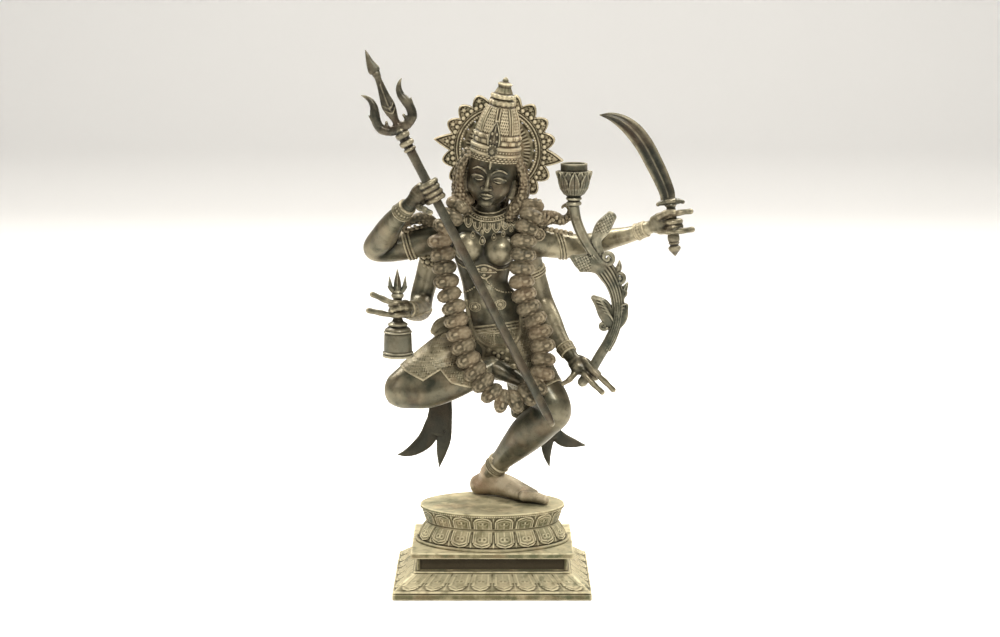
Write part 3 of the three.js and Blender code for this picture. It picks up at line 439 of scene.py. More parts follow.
class Wax:
    """A block of space that holds the distance to the modelled surface, negative inside the metal."""

    def __init__(self, low, high, grain):
        self.low = np.asarray(low, np.float32)
        self.grain = grain
        size = np.ceil((np.asarray(high) - self.low) / grain).astype(int) + 1
        self.field = np.full(size, 9.0, np.float32)

    def patch(self, low, high):
        """The part of the block between two corners, and the coordinates of its grains."""
        size = self.field.shape
        first = np.clip(np.floor((np.asarray(low) - self.low) / self.grain), 0, size).astype(int)
        last = np.clip(np.ceil((np.asarray(high) - self.low) / self.grain) + 1, 0, size).astype(int)
        axes = [(self.low[i] + self.grain * np.arange(*ends)).astype(np.float32)
                for i, ends in enumerate(zip(first, last))]
        return tuple(slice(a, b) for a, b in zip(first, last)), np.meshgrid(*axes, indexing="ij", sparse=True)

    def merge(self, where, metal, blend, cut):
        """Joins metal to what is there, or cuts it away."""
        old = self.field[where]
        self.field[where] = -joined(-old, metal, blend) if cut else joined(old, metal, blend)

    def put(self, low, high, distance, blend=0.0, cut=False):
        """Adds metal given by its distance within a box, or cuts it away."""
        where, (x, y, z) = self.patch(np.asarray(low) - blend - 2, np.asarray(high) + blend + 2)
        self.merge(where, distance(x, y, z), blend, cut)

    def ball(self, centre, radii, blend=0.0, cut=False):
        """An oval lump, added or cut away."""
        centre = np.asarray(centre, float)
        radii = np.broadcast_to(radii, 3)

        def distance(x, y, z):
            across = [(q - c) for q, c in zip((x, y, z), centre)]
            near = np.maximum(np.sqrt(sum((q / r) ** 2 for q, r in zip(across, radii))), 1e-3)
            steep = np.sqrt(sum((q / r ** 2) ** 2 for q, r in zip(across, radii)))
            return near * (near - 1) / np.maximum(steep, 1e-6)

        self.put(centre - radii, centre + radii, distance, blend, cut)

    def limb(self, rows, blend=0.0, front=(0, -1, 0), cut=False, step=3.0):
        """A rounded limb along rows of x, y, z and two radii, the second of which faces the front."""
        rows = limb_line(rows, step)
        most = rows[:, 3:].max() + 2 * self.grain + blend + 1
        where, _ = self.patch(rows[:, :3].min(0) - most, rows[:, :3].max(0) + most)
        shape = Wax.__new__(Wax)
        shape.low = self.low + self.grain * np.array([s.start for s in where], np.float32)
        shape.grain = self.grain
        shape.field = np.full([s.stop - s.start for s in where], 9.0, np.float32)
        for one, other in zip(rows, rows[1:]):
            reach = max(one[3:].max(), other[3:].max()) + blend + 3 * self.grain
            low = np.minimum(one[:3], other[:3]) - reach
            high = np.maximum(one[:3], other[:3]) + reach
            inner, (x, y, z) = shape.patch(low, high)
            shape.field[inner] = np.minimum(shape.field[inner], segment(x, y, z, one, other, front))
        self.merge(where, shape.field, blend, cut)

    def at(self, points):
        """The distance at any points, read between the grains."""
        spot = (np.asarray(points, float) - self.low) / self.grain
        top = np.array(self.field.shape) - 2
        base = np.clip(np.floor(spot).astype(int), 0, top)
        part = np.clip(spot - base, 0, 1)
        total = 0
        for corner in np.ndindex(2, 2, 2):
            weight = np.prod(np.where(corner, part, 1 - part), -1)
            i, j, k = (base + corner).reshape(-1, 3).T
            total = total + weight * self.field[i, j, k].reshape(weight.shape)
        return total

    def surface(self, slack=0.01):
        """The skin of the metal; slack lets flat places have larger faces."""
        grid = openvdb.FloatGrid(3.0)
        grid.copyFromArray(np.clip(self.field / self.grain, -3, 3).astype(np.float32))
        points, triangles, quads = grid.convertToPolygons(0.0, slack)
        return points * self.grain + self.low, triangles.tolist() + quads.tolist()


def joined(one, other, blend):
    """The nearer of two distances, with a fillet where they meet."""
    if not blend:
        return np.minimum(one, other)
    near = np.maximum(blend - np.abs(one - other), 0) / blend
    return np.minimum(one, other) - near * near * blend / 4


def curve(rows, step):
    """Rows of numbers made denser along a smooth line through them."""
    rows = np.array(rows, float)
    ends = np.vstack([2 * rows[0] - rows[1], rows, 2 * rows[-1] - rows[-2]])
    out = []
    for p0, p1, p2, p3 in zip(ends, ends[1:], ends[2:], ends[3:]):
        gaps = [b[:3] - a[:3] for a, b in ((p0, p1), (p1, p2), (p2, p3))]
        d0, d1, d2 = (max(np.linalg.norm(gap), 1e-3) ** 0.5 for gap in gaps)
        m1 = ((p1 - p0) / d0 - (p2 - p0) / (d0 + d1) + (p2 - p1) / d1) * d1
        m2 = ((p2 - p1) / d1 - (p3 - p1) / (d1 + d2) + (p3 - p2) / d2) * d1
        count = max(1, int(np.linalg.norm(p2[:3] - p1[:3]) / step))
        t = np.arange(count)[:, None] / count
        out.append((2 * t ** 3 - 3 * t ** 2 + 1) * p1 + (t ** 3 - 2 * t ** 2 + t) * m1
                   + (3 * t ** 2 - 2 * t ** 3) * p2 + (t ** 3 - t ** 2) * m2)
    return np.vstack(out + [rows[-1:]])


def limb_line(rows, step):
    """A smooth line along a limb's rows; a row with one radius has it for both."""
    return curve([(row + [row[3]])[:5] for row in map(list, rows)], step)


def segment(x, y, z, one, other, front):
    """Distance to a short length of limb whose girth is oval."""
    along = other[:3] - one[:3]
    length = max(np.linalg.norm(along), 1e-6)
    along = along / length
    v = np.asarray(front, float) - np.dot(front, along) * along
    v = v / max(np.linalg.norm(v), 1e-6)
    u = np.cross(v, along)
    dx, dy, dz = x - one[0], y - one[1], z - one[2]
    reach = dx * along[0] + dy * along[1] + dz * along[2]
    t = np.clip(reach / length, 0, 1)
    a = one[3] + t * (other[3] - one[3])
    b = one[4] + t * (other[4] - one[4])
    qu = dx * u[0] + dy * u[1] + dz * u[2]
    qv = dx * v[0] + dy * v[1] + dz * v[2]
    qw = reach - t * length
    c = np.minimum(a, b)
    near = np.maximum(np.sqrt((qu / a) ** 2 + (qv / b) ** 2 + (qw / c) ** 2), 1e-3)
    steep = np.sqrt((qu / a ** 2) ** 2 + (qv / b ** 2) ** 2 + (qw / c ** 2) ** 2)
    return (near * (near - 1) / np.maximum(steep, 1e-6)).astype(np.float32)


UPPER_RIGHT = [[-38, 6, 274, 15], [-60, 3, 270, 15.5], [-84, -1, 264, 15], [-104, -5, 261, 14],
               [-115, -8, 261, 12.5], [-106, -22, 275, 13], [-96, -37, 291, 10.8], [-86, -47, 303, 8.4],
               [-78, -52, 311, 6.6]]
UPPER_LEFT = [[34, 6, 270, 14.5], [56, 11, 263, 13.5], [80, 18, 260, 12.3], [99, 21, 261, 11.6],
              [118, 12, 268, 10.2], [137, 0, 274, 8], [158, -15, 284, 6.4]]
LOWER_RIGHT = [[-44, 14, 268, 13.5], [-59, 18, 248, 12.8], [-66, 21, 226, 12], [-71, 20, 208, 11.6],
               [-72, 8, 199, 11], [-77, -13, 200, 9.6], [-84, -42, 205, 6.4]]
LOWER_LEFT = [[32, 14, 264, 13.5], [37, 19, 245, 12.8], [44, 25, 222, 12], [50, 27, 203, 11.6],
              [59, 14, 185, 10.8], [68, -1, 168, 8.8], [82, -17, 149, 6.4]]
STANDING_LEG = [[22, 13, 160, 27, 26], [32, 3, 143, 25, 25], [47, -11, 124, 21, 22], [60, -23, 108, 17.5, 17],
                [62, -24, 99, 17, 17], [52, -18, 90, 18.5, 19], [38, -9, 76, 19, 19.5], [25, 2, 60, 15.8, 16],
                [11.5, 14, 43, 11.5, 12], [-2, 26, 26, 9.5, 11]]
RAISED_THIGH = [[-8, 12, 162, 28, 26], [-34, -1, 154, 26, 26], [-60, -15, 141, 22.5, 23],
                [-84, -25, 126, 18.5, 17], [-87, -26, 122, 16, 16]]
RAISED_SHIN = [[-86, -26, 122, 18], [-66, -31, 121.5, 17.2], [-44, -34, 128, 16], [-20, -34, 137, 13],
               [0, -31, 147, 9.5]]

body = Wax((-136, -66, -6), (172, 56, 332), 1.5)
body.limb([[8, 15, 150, 25, 20], [8, 14, 168, 36, 26], [4, 11, 190, 31, 23], [-3, 7, 208, 25.5, 19],
           [-7, 6, 224, 23, 17], [-8, 5, 243, 27, 18], [-8, 5, 262, 33, 19], [-7, 6, 280, 36, 15]])
body.limb([[-40, 7, 275, 14], [-7, 7, 284, 15], [36, 7, 270, 14]], blend=9, front=(0, 0, 1))
body.limb([[-6, 5, 282, 13.5], [-4, 2, 300, 11], [-2, 0, 318, 11.5]], blend=8)
body.ball((-5, -3, 212), (17, 13, 17), blend=10)
body.ball((-12, 22, 172), (19, 19, 20), blend=8)
body.ball((22, 24, 165), (19, 18, 20), blend=8)
for arm in (UPPER_RIGHT, UPPER_LEFT, LOWER_RIGHT, LOWER_LEFT):
    body.limb(arm, blend=6)
for leg in (STANDING_LEG, RAISED_THIGH, RAISED_SHIN):
    body.limb(leg, blend=7, front=(0, 0, 1) if leg is RAISED_SHIN else (0, -1, 0))
body.ball((60, -30, 105), (11, 8, 12), blend=8)
body.ball((-98, -28, 122), (7, 9, 12), blend=8)
body.ball((-23.5, -10.5, 263), (15, 15, 15), blend=3.5)
body.ball((8, -10.5, 260), (15.6, 15, 15.6), blend=3.5)
body.ball((-6, -19.5, 222), (1.5, 3, 1.8), blend=2, cut=True)
pour("body", *body.surface(0.02), FIGURE_PATINA)

# The feet are cast with the legs and are bare, with long toes and a thin sole. The left one stands
# on the lotus; the right one is drawn up behind the garland. Both joins are under the anklets.
FOOT_PATINA = patina(
    "foot_patina",
    metal=(0.15, 0.122, 0.0775),
    green=(0.0875, 0.085, 0.055),
    brown=(0.225, 0.152, 0.1),
    dust=(0.375, 0.312, 0.21),
    rubbed_and_highlight=(0.55, 0.475, 0.338),
    pit=(0.0375, 0.03, 0.02),
    gloss=0.42,
    shine=0.3,
    veil=0.6,
    wax=0.1,
)
standing_foot = Wax((-34, -24, -1), (66, 58, 44), 0.85)
standing_foot.limb([[15, 11, 48, 11.8, 12.2], [6, 19, 37, 10.4, 11.4], [-3, 27, 25, 9.6, 11]])
standing_foot.limb([[-14, 38, 9, 9.5, 10.5], [-4, 32, 13, 10.6, 12.5], [14, 22, 12, 11, 11.5],
                    [28, 12, 8.5, 12.4, 9], [39, 5, 6.2, 11.6, 6.6]], blend=6, front=(0, 0, 1))
standing_foot.ball((3, 21, 22), (5, 4, 5.5), blend=5)
standing_foot.ball((-4, 40, 20), (4, 4, 5), blend=5)
TOES = ((-6.0, 52.5, 5.4), (0.8, 52, 4.1), (5.4, 49.5, 3.8), (9.2, 46.5, 3.5), (12.4, 43, 3.2))
for side, reach, thick in TOES:
    standing_foot.limb([[32, side * 0.8 + 1, 7.5, thick], [reach - 8, side, 6.8, thick],
                        [reach, side - 1.2, 4.4, thick - 0.3]], blend=0.8, step=2)
    standing_foot.ball((reach + 1.6, side - 1.5, 4.4 + thick * 0.62), (2.0, 1.7, 0.9), blend=0.3)
standing_foot.put((-40, -30, -6), (70, 60, 0.3), lambda x, y, z: z - 0.3, cut=True)
pour("standing_foot", *standing_foot.surface(), FOOT_PATINA)

raised_foot = Wax((-18, -50, 112), (54, -14, 166), 0.9)
raised_foot.limb([[-14, -33, 140, 11.5, 11], [-4, -31, 146, 10, 10], [10, -32, 142, 10.5, 9.5],
                  [24, -33.5, 135, 9.5, 7.5], [35, -34, 128.5, 8.4, 5.4]], front=(0, 0, 1))
for toe in range(5):
    raised_foot.limb([[34, -40 + 3.1 * toe, 129, 2.8 - 0.15 * toe],
                      [43 - toe, -41 + 3.2 * toe, 124, 2.5 - 0.2 * toe]], blend=0.8)
pour("raised_foot", *raised_foot.surface(), FIGURE_PATINA)

# Each hand is modelled in wax on its wrist and cast with the arm: a soft palm, a thumb and long
# fingers, bent round what it holds or held out as the gesture asks. The joins are under bracelets.


def unit(vector):
    """A direction of length one."""
    vector = np.asarray(vector, float)
    return vector / np.linalg.norm(vector)


def grip(at, axis, palm):
    """Where a bar is held: its middle, its direction and the side that the palm is on."""
    axis = unit(axis)
    palm = np.asarray(palm, float)
    palm = unit(palm - palm.dot(axis) * axis)
    return {"at": np.array(at, float), "axis": axis, "palm": palm, "side": np.cross(axis, palm)}


def finger(hand, rows):
    """A finger that swells at its knuckles."""
    fine = curve(rows, 1.6)
    share = np.linspace(0, 1, len(fine))
    fine[:, 3] *= 1 + 0.07 * np.cos(share * 6 * math.pi) - 0.04
    hand.limb(fine.tolist(), blend=1.4, step=9)


def wrapped(hand, hold, radius, along, turn, thick):
    """A finger bent round a bar, through angles counted from the palm."""
    rows = []
    for angle in np.radians(np.linspace(turn[0], turn[1], 5)):
        spot = hold["at"] + (math.cos(angle) * hold["palm"] + math.sin(angle) * hold["side"]) * radius
        rows.append([*(spot + hold["axis"] * along), thick])
    finger(hand, rows)


def pour_hand(name, hand, line, radius):
    """Cuts the seat of the bar along its line before the hand is poured."""
    hand.limb([[*p, radius] for p in line], cut=True)
    pour(name, *hand.surface(), FIGURE_PATINA)


HAND_LENGTH = 40
FINGER_GIRTH = 2.85
TRIDENT_HOLD = grip((-58, -57, 323), (-0.456, 0.02, 0.89), (-1, 0.3, -0.4))
SWORD_HOLD = grip((177, -22, 287), (-0.1, 0.06, 0.99), (-1, 0.2, 0))
BELL_HOLD = grip((-92, -50, 208), (0, 0, 1), (1, 0.6, 0))
STALK_HOLD = grip((98, -21, 140), (0.58, 0.04, 0.81), (-0.9, 0.3, 0.6))


def bar_of(hold):
    """The line of a straight bar, a hand's length to both sides."""
    return [hold["at"] - hold["axis"] * HAND_LENGTH, hold["at"] + hold["axis"] * HAND_LENGTH]


hand = Wax((-92, -72, 292), (-38, -38, 346), 0.84)
hand.limb([[-85, -48, 304, 8, 8], [-77, -52.5, 312, 7, 6.5], [-69, -54, 319, 10.5, 7.4],
           [-65, -55, 324, 9.6, 6.8]], front=(0.4, -1, 0.2))
for along in (-8, -2.7, 2.7, 8):
    wrapped(hand, TRIDENT_HOLD, 7.9, along, (15, 235 - 4 * along), FINGER_GIRTH)
finger(hand, [[-72, -55, 311, 4], [-70, -60, 308, 3.4], [-65, -64.5, 306.5, 3.1], [-59, -66, 303.5, 2.6]])
pour_hand("hand_of_the_trident", hand, bar_of(TRIDENT_HOLD), 4.75)

hand = Wax((146, -48, 266), (206, -6, 312), 0.84)
hand.limb([[150, -9, 280.5, 7, 7], [158, -15, 284, 6.6, 6.4], [165, -19, 287, 11, 7.6],
           [171, -21, 288, 11, 7.2]], front=(0.3, -1, 0))
for along in (-2.8, 2.3):
    wrapped(hand, SWORD_HOLD, 8.1, along, (15, 235), FINGER_GIRTH)
finger(hand, [[165, -22, 292, 4], [172, -29, 296.5, 3.2], [181, -32, 299, 3], [187, -31.6, 300, 3.05],
              [194, -30, 300.5, 2.8]])
finger(hand, [[165, -22, 281, 4], [172, -29, 280.5, 3.1], [181, -31.6, 281, 2.9], [188, -30.2, 281.6, 3.05],
              [196, -28, 282.4, 2.8]])
finger(hand, [[159, -20, 291, 4], [165, -28, 296, 3.5], [171, -32, 299.4, 3.2], [177.5, -33, 300, 2.6]])
pour_hand("hand_of_the_sword", hand, bar_of(SWORD_HOLD), 5.2)

hand = Wax((-126, -72, 190), (-68, -34, 228), 0.84)
hand.limb([[-79, -28, 202.5, 7.6, 7.6], [-83, -39, 204.5, 6.6, 6.6], [-84, -46, 206.5, 8, 7.5],
           [-85, -50, 208, 8.5, 7]], front=(1, -0.3, 0))
for along in (-2.8, 2.3):
    wrapped(hand, BELL_HOLD, 7.1, along, (-15, -225), 2.7)
finger(hand, [[-83, -53, 212, 4], [-90, -59.5, 214, 3.2], [-99, -61, 216, 3], [-107, -59, 219, 3.05],
              [-116, -56, 222.4, 2.8]])
finger(hand, [[-83, -52, 202.5, 4], [-91, -58.5, 202.5, 3.1], [-101, -60, 203.4, 2.9],
              [-110, -57.6, 204.8, 3.05], [-120, -54, 206.2, 2.8]])
finger(hand, [[-80, -51, 209, 4], [-85, -59, 210.4, 3.5], [-91, -62, 210, 3.1], [-96.5, -62.4, 208, 2.5]])
pour_hand("hand_of_the_bell", hand, bar_of(BELL_HOLD), 4.3)

STALK_LINE = [
    [90, -21.5, 129], [98, -21, 140], [107, -18.5, 155], [116.5, -15, 170], [123.5, -13, 187],
    [125, -12, 204], [121.5, -12, 221], [114, -12, 238], [102, -12, 254], [90, -12, 273], [83, -12, 290],
    [80.5, -12, 305],
]
hand = Wax((60, -44, 112), (128, -2, 170), 0.84)
hand.limb([[76, -11, 157, 7.4, 7.4], [81, -16, 150.5, 6.8, 6.8], [86, -18.5, 146, 11.4, 8.6],
           [91, -19.5, 144, 10.8, 8.2]], front=(0.3, -0.5, 0.8))
for along in (-2.8, 2.3):
    wrapped(hand, STALK_HOLD, 8.5, along, (15, 235), FINGER_GIRTH)
finger(hand, [[87, -22, 145, 4], [92, -30, 138, 3.3], [98, -34, 131.5, 3], [103, -33.6, 126.5, 3.05],
              [109, -31.6, 120.5, 2.8]])
finger(hand, [[91, -22, 150, 4], [98, -30, 143.5, 3.3], [106, -34, 137, 3], [112.5, -32.6, 130.5, 3.05],
              [120, -29.6, 122.5, 2.8]])
finger(hand, [[85, -20, 143.5, 4], [80.5, -27, 137, 3.4], [76, -30.4, 132.6, 3], [70.5, -31.4, 129.4, 2.4]])
pour_hand("hand_of_the_lotus", hand, STALK_LINE[:5], 5.4)

# The head is cast with the body and leans a little to the right. Its face is a plain, calm one:
# half-closed eyes between raised lids, arched brows, a straight nose and a small full mouth.
HEAD_AT = np.array([-1.0, -5.0, 330.0])


def turned_about(x_angle, y_angle, z_angle):
    """Turns about Z first, then X, then Y, in degrees."""
    a, b, c = np.radians([x_angle, y_angle, z_angle])
    about_x = np.array([[1, 0, 0], [0, math.cos(a), -math.sin(a)], [0, math.sin(a), math.cos(a)]])
    about_y = np.array([[math.cos(b), 0, math.sin(b)], [0, 1, 0], [-math.sin(b), 0, math.cos(b)]])
    about_z = np.array([[math.cos(c), -math.sin(c), 0], [math.sin(c), math.cos(c), 0], [0, 0, 1]])
    return about_y @ about_x @ about_z


HEAD_LEAN = turned_about(5, 8.4, -7)
HEAD_STRETCH = (1.2, 1.05, 1.11)


def pour_on_head(name, points, faces, finish=FIGURE_PATINA):
    """Pours a piece whose points are measured from the middle of the upright head."""
    pour(name, np.asarray(points) @ HEAD_LEAN.T + HEAD_AT, faces, finish)


head = Wax((-27, -31, -34), (27, 27, 34), 0.5)
head.ball((0, 0, 6), (20.3, 22, 24))
head.ball((0, -4, -10), (16.2, 16.6, 16.5), blend=7)
head.ball((0, -17, -22), (5.6, 4.4, 4.4), blend=5)
for side in (-1, 1):
    head.ball((side * 9.2, -13.6, -8), (7, 6.2, 8), blend=6)
    head.ball((side * 8.2, -23.6, 0.6), (6.6, 3.6, 4.6), blend=3, cut=True)
    head.ball((side * 8, -17.0, 0.4), (5.6, 4.0, 3.5), blend=1)
    head.limb([[side * 3.4, -19.4, -0.4, 0.5], [side * 5.6, -21.2, 1.4, 0.7], [side * 8.6, -21.2, 2.1, 0.75],
               [side * 11.6, -19.5, 1.3, 0.65], [side * 14.6, -16.8, 0.4, 0.4]], blend=0.3, step=1)
    head.limb([[side * 3.4, -19.4, -0.6, 0.45], [side * 6, -20.9, -1.6, 0.55], [side * 9, -20.6, -2.0, 0.55],
               [side * 12, -18.7, -1.0, 0.45], [side * 14.4, -16.9, 0.2, 0.35]], blend=0.3, step=1)
    head.limb([[side * 2.2, -21.9, 5.2, 0.6], [side * 5.4, -21.9, 8.0, 0.85], [side * 9.6, -20.2, 8.8, 0.8],
               [side * 14.2, -16.8, 6.4, 0.45]], blend=1.2, step=1)
    head.ball((side * 2.9, -23.0, -8.6), (1.9, 2.2, 1.7), blend=0.9)
    head.ball((side * 1.6, -24.6, -10.1), (0.8, 1.1, 0.7), blend=0.5, cut=True)
    head.limb([[side * 18.6, -4, -2, 2.6], [side * 19.4, -4.4, -8, 3], [side * 18.8, -4.2, -15, 3.2]],
              blend=1)
head.limb([[0, -20.4, 6.5, 1.5], [0, -22.3, 0, 1.7], [0, -24.2, -5, 2.1], [0, -24.9, -8.2, 2.5]],
          blend=2.2, step=1)
head.limb([[0, -22.8, -10.6, 0.35], [0, -22.2, -13.4, 0.5]], blend=0.8, cut=True, step=1)
head.limb([[-5.4, -19.6, -15.0, 0.6], [-2.6, -21.6, -14.4, 1.2], [-0.8, -22.3, -13.9, 1.25],
           [0, -22.2, -14.3, 1.2], [0.8, -22.3, -13.9, 1.25], [2.6, -21.6, -14.4, 1.2],
           [5.4, -19.6, -15.0, 0.6]], blend=0.7, step=1)
head.limb([[-4.6, -19.9, -15.8, 0.7], [0, -21.5, -17.0, 1.55], [4.6, -19.9, -15.8, 0.7]], blend=0.8, step=1)
head.limb([[-5.6, -20.6, -15.1, 0.3], [0, -23.7, -15.5, 0.42], [5.6, -20.6, -15.1, 0.3]],
          blend=0.5, cut=True, step=1)
head.limb([[0, -22.3, 9.4, 0.7], [0, -22.2, 12.2, 1.2], [0, -21.7, 15.6, 0.5]], blend=0.3, step=1)
points, faces = head.surface()
pour_on_head("head", points * HEAD_STRETCH + (0, -0.8, 3.6), faces)

# The hair is part of the casting. It is dressed in tight round curls beside the face and the neck,
# and falls down the back. Its brown patina holds more dust than the skin does.
HAIR_PATINA = patina(
    "hair_patina",
    metal=(0.0605, 0.0475, 0.0288),
    green=(0.0403, 0.036, 0.0238),
    brown=(0.0806, 0.0562, 0.0346),
    dust=(0.207, 0.167, 0.108),
    rubbed_and_highlight=(0.23, 0.191, 0.126),
    pit=(0.00936, 0.0072, 0.00432),
    gloss=0.52,
    shine=0.3,
    veil=0.5,
    wax=0.04,
)
CURL_SCATTER = np.array([[12.99, 39.35, 73.16], [78.23, 11.14, 52.24], [37.72, 83.16, 9.15]])


def curled(wax, pitch, height):
    """Covers a wax surface with uneven round curls."""
    near = np.abs(wax.field) < 2.5
    spots = (np.argwhere(near) * wax.grain + wax.low) / pitch
    cells = np.floor(spots)
    nearest = np.full(len(spots), 9.0)
    for step in np.ndindex(3, 3, 3):
        seeds = cells + step - 1
        jog = np.sin(seeds @ CURL_SCATTER) * 4375.5
        seeds = seeds + 0.5 + 0.7 * (jog - np.floor(jog) - 0.5)
        nearest = np.minimum(nearest, ((spots - seeds) ** 2).sum(1))
    wax.field[near] -= height * np.maximum(1 - 4.2 * nearest, -0.9)


hair = Wax((-46, -24, 238), (42, 34, 372), 1.02)
for rows in [
    [[-22, -14, 356, 3], [-28, -14, 347, 3.8], [-31.4, -12, 334, 4.2], [-31.6, -10, 322, 4.8],
     [-31, -8, 311, 7.4], [-26, -8, 300, 6]],
    [[-24, -2, 356, 5], [-31, -2, 340, 5.6], [-34, 0, 324, 6], [-34, 2, 312, 6]],
    [[22, -13, 352, 3], [28, -13, 341, 3.8], [31, -11, 328, 4.2], [29.4, -9, 314, 5], [23, -8, 302, 7.2],
     [18, -9, 293, 5]],
    [[24, -2, 352, 5], [30, -2, 336, 5.6], [31, 0, 320, 6.5], [29, 2, 308, 7]],
    [[-1, 13, 346, 20, 10], [-4, 18, 312, 21, 9], [-6, 21, 288, 21, 8], [-7, 23, 262, 15, 6],
     [-8, 24, 247, 8, 3.5]],
]:
    hair.limb(rows, blend=1.5)
curled(hair, 3.3, 0.75)
pour("curled_hair", *hair.surface(), HAIR_PATINA)

# The crown is cast on the head over a fringe of curls: a tiara, a ring of leaf knobs, a dome with
# double ribs and punched pits between them, two flared collars, and a lotus bud on top. A jewel
# and a leaf are set in the tiara's middle.
CROWN_LINE = [
    (20.6, 19.2), (22.6, 20.2), (23.4, 23), (23.4, 25.4), (24.8, 26.0), (25.6, 27.4), (25.0, 28.8),
    (24.0, 29.4), (24.0, 31.8), (24.9, 32.4), (25.4, 33.8), (24.8, 35.2), (23.0, 36), (21.8, 36.8),
    (22.0, 39), (22.4, 42), (21.8, 45.6), (20.8, 47), (20.6, 50), (19.6, 55), (17.9, 61), (15.6, 67),
    (13.0, 72.6), (12.0, 73.8), (12.6, 74.8), (13.0, 76.4), (12.6, 78), (11.0, 79.2), (9.8, 79.8),
    (10.0, 80.6), (11.8, 81.4), (12.4, 83.0), (11.4, 84.6), (9.6, 85.4), (8.8, 86.0), (8.0, 87.6),
    (6.8, 89.8), (5.9, 91.8), (6.2, 93.6), (6.9, 95.0), (5.6, 96.0), (3.6, 97.2), (3.2, 98.6), (2.6, 100.2),
    (1.4, 101.2), (0.6, 101.8),
]
CROWN_RIBS = 8


def lathe(line, samples, step, relief=None):
    """A turned shape about Z, with an optional relief from the angle, the height and the radius."""
    line = np.array(line, float)
    rows = [line[:1]]
    for one, other in zip(line, line[1:]):
        count = max(1, int(np.linalg.norm(other - one) / step))
        rows.append(one + (other - one) * (np.arange(1, count + 1) / count)[:, None])
    rows = np.vstack(rows)
    angle = 2 * math.pi * np.arange(samples) / samples
    rings = []
    for radius, height in rows:
        out = radius + (relief(angle, height, radius) if relief else 0)
        rings.append(np.stack([out * np.cos(angle), out * np.sin(angle), np.full(samples, height)], -1))
    return skin(rings)


def crown_relief(angle, height, radius):
    """The crown's carving from the fringe up: curls, a bead row, leaf knobs, ribs, collars and bud."""
    turn = (angle + math.pi / 2) * CROWN_RIBS / (2 * math.pi)
    beside = np.abs(turn - np.round(turn)) * 2 * math.pi / CROWN_RIBS * radius
    out = np.zeros_like(angle)
    if height < 25.8:
        row = (height - 19.6) / 2.1
        curls = np.abs(np.sin(angle * 17 + math.pi / 2 * (int(row) % 2)))
        out += 1.6 * curls * abs(math.sin(math.pi * row))
    if 29.2 < height < 32:
        out += 0.9 * np.abs(np.sin(angle * 24)) * math.exp(-((height - 30.6) / 0.9) ** 2)
    if 36.8 < height < 47.4:
        row = (height - 36.8) / 5.3
        leafy = np.abs(np.sin(angle * 7 + math.pi / 2 * (int(row) % 2)))
        out += 2.3 * leafy ** 0.7 * math.sin(math.pi * (row % 1)) ** 0.6
        out -= 0.8 * np.exp(-((leafy - 0.55) / 0.12) ** 2) * math.sin(math.pi * (row % 1))
    if 47 < height < 73:
        share = ease(47, 48.4, height) * ease(73, 71.6, height)
        ribs = np.exp(-((beside - 1.5) / 0.62) ** 2) * 1.5 - np.exp(-(beside / 0.5) ** 2) * 0.7
        row = height / 2.9
        spot = (turn * 7 + 0.5 * (math.floor(row) % 2)) % 1 - 0.5
        pit = np.exp(-(spot / 0.2) ** 2) * math.exp(-(((row % 1) - 0.5) / 0.24) ** 2)
        out += share * (ribs + ease(2.6, 3.4, beside) * (0.7 - 1.9 * pit))
    if 74.4 < height < 78.6 or 81 < height < 84.8:
        out += 0.45 * np.cos(angle * 14)
    if height > 86:
        out = 0.9 * np.abs(np.cos(angle * 3.5)) ** 0.7 * ease(97, 95.4, height) - 0.3
    return out


CROWN_PATINA = patina(
    "crown_patina",
    metal=(0.142, 0.119, 0.076),
    green=(0.094, 0.09, 0.058),
    brown=(0.175, 0.125, 0.075),
    dust=(0.32, 0.27, 0.175),
    rubbed_and_highlight=(0.4, 0.35, 0.235),
    pit=(0.03, 0.023, 0.015),
    gloss=0.42,
    shine=0.2,
    veil=0.6,
)
pour_on_head("crown", *lathe(CROWN_LINE, 204, 0.72, crown_relief), CROWN_PATINA)

jewel = Wax((-12, -34, 20), (12, -12, 70), 0.55)
jewel.ball((0, -25.6, 32), (5.0, 2.6, 6.0))
jewel.ball((0, -27.6, 31.4), (2.4, 1.8, 2.8), blend=0.3)
for k in range(12):
    turn = 2 * math.pi * k / 12
    jewel.ball((4.6 * math.sin(turn), -26.6, 32 + 5.6 * math.cos(turn)), 1.1, blend=0.3)
jewel.limb([[0, -22, 37, 6.4, 3], [0, -23.4, 44, 6.8, 3.2], [0, -22.4, 52, 4.6, 2.8],
            [0, -20, 60, 1.6, 1.4]], blend=1)
for side in (-1, 0, 1):
    jewel.limb([[side * 5.2, -24.6, 38, 0.9], [side * 5.4, -26, 45, 1.0], [side * 3.2, -24.6, 53, 0.9],
                [0, -21.6, 60, 0.7]], blend=0.4, step=1.5)
for x, z in ((-2.9, 42), (2.9, 42), (-2.2, 48.6), (2.2, 48.6), (-8.6, 41), (8.6, 41)):
    jewel.ball((x, -25.6 + 0.09 * x * x, z), 1.9, blend=0.4)
pour_on_head("tiara_jewel", *jewel.surface())

# The halo is a cast disc on a stub behind the head: rays and studs round its middle, a double
# groove, a row of beads, and an edge of round-topped tongues, each with a flower of beads, and
# one long point at each side.
HALO_MIDDLE = 25.0
HALO_TONGUES = 18
HALO_STUDS = 22
STUD_CIRCLE = 36.2
TONGUE_FOOT = 49.4

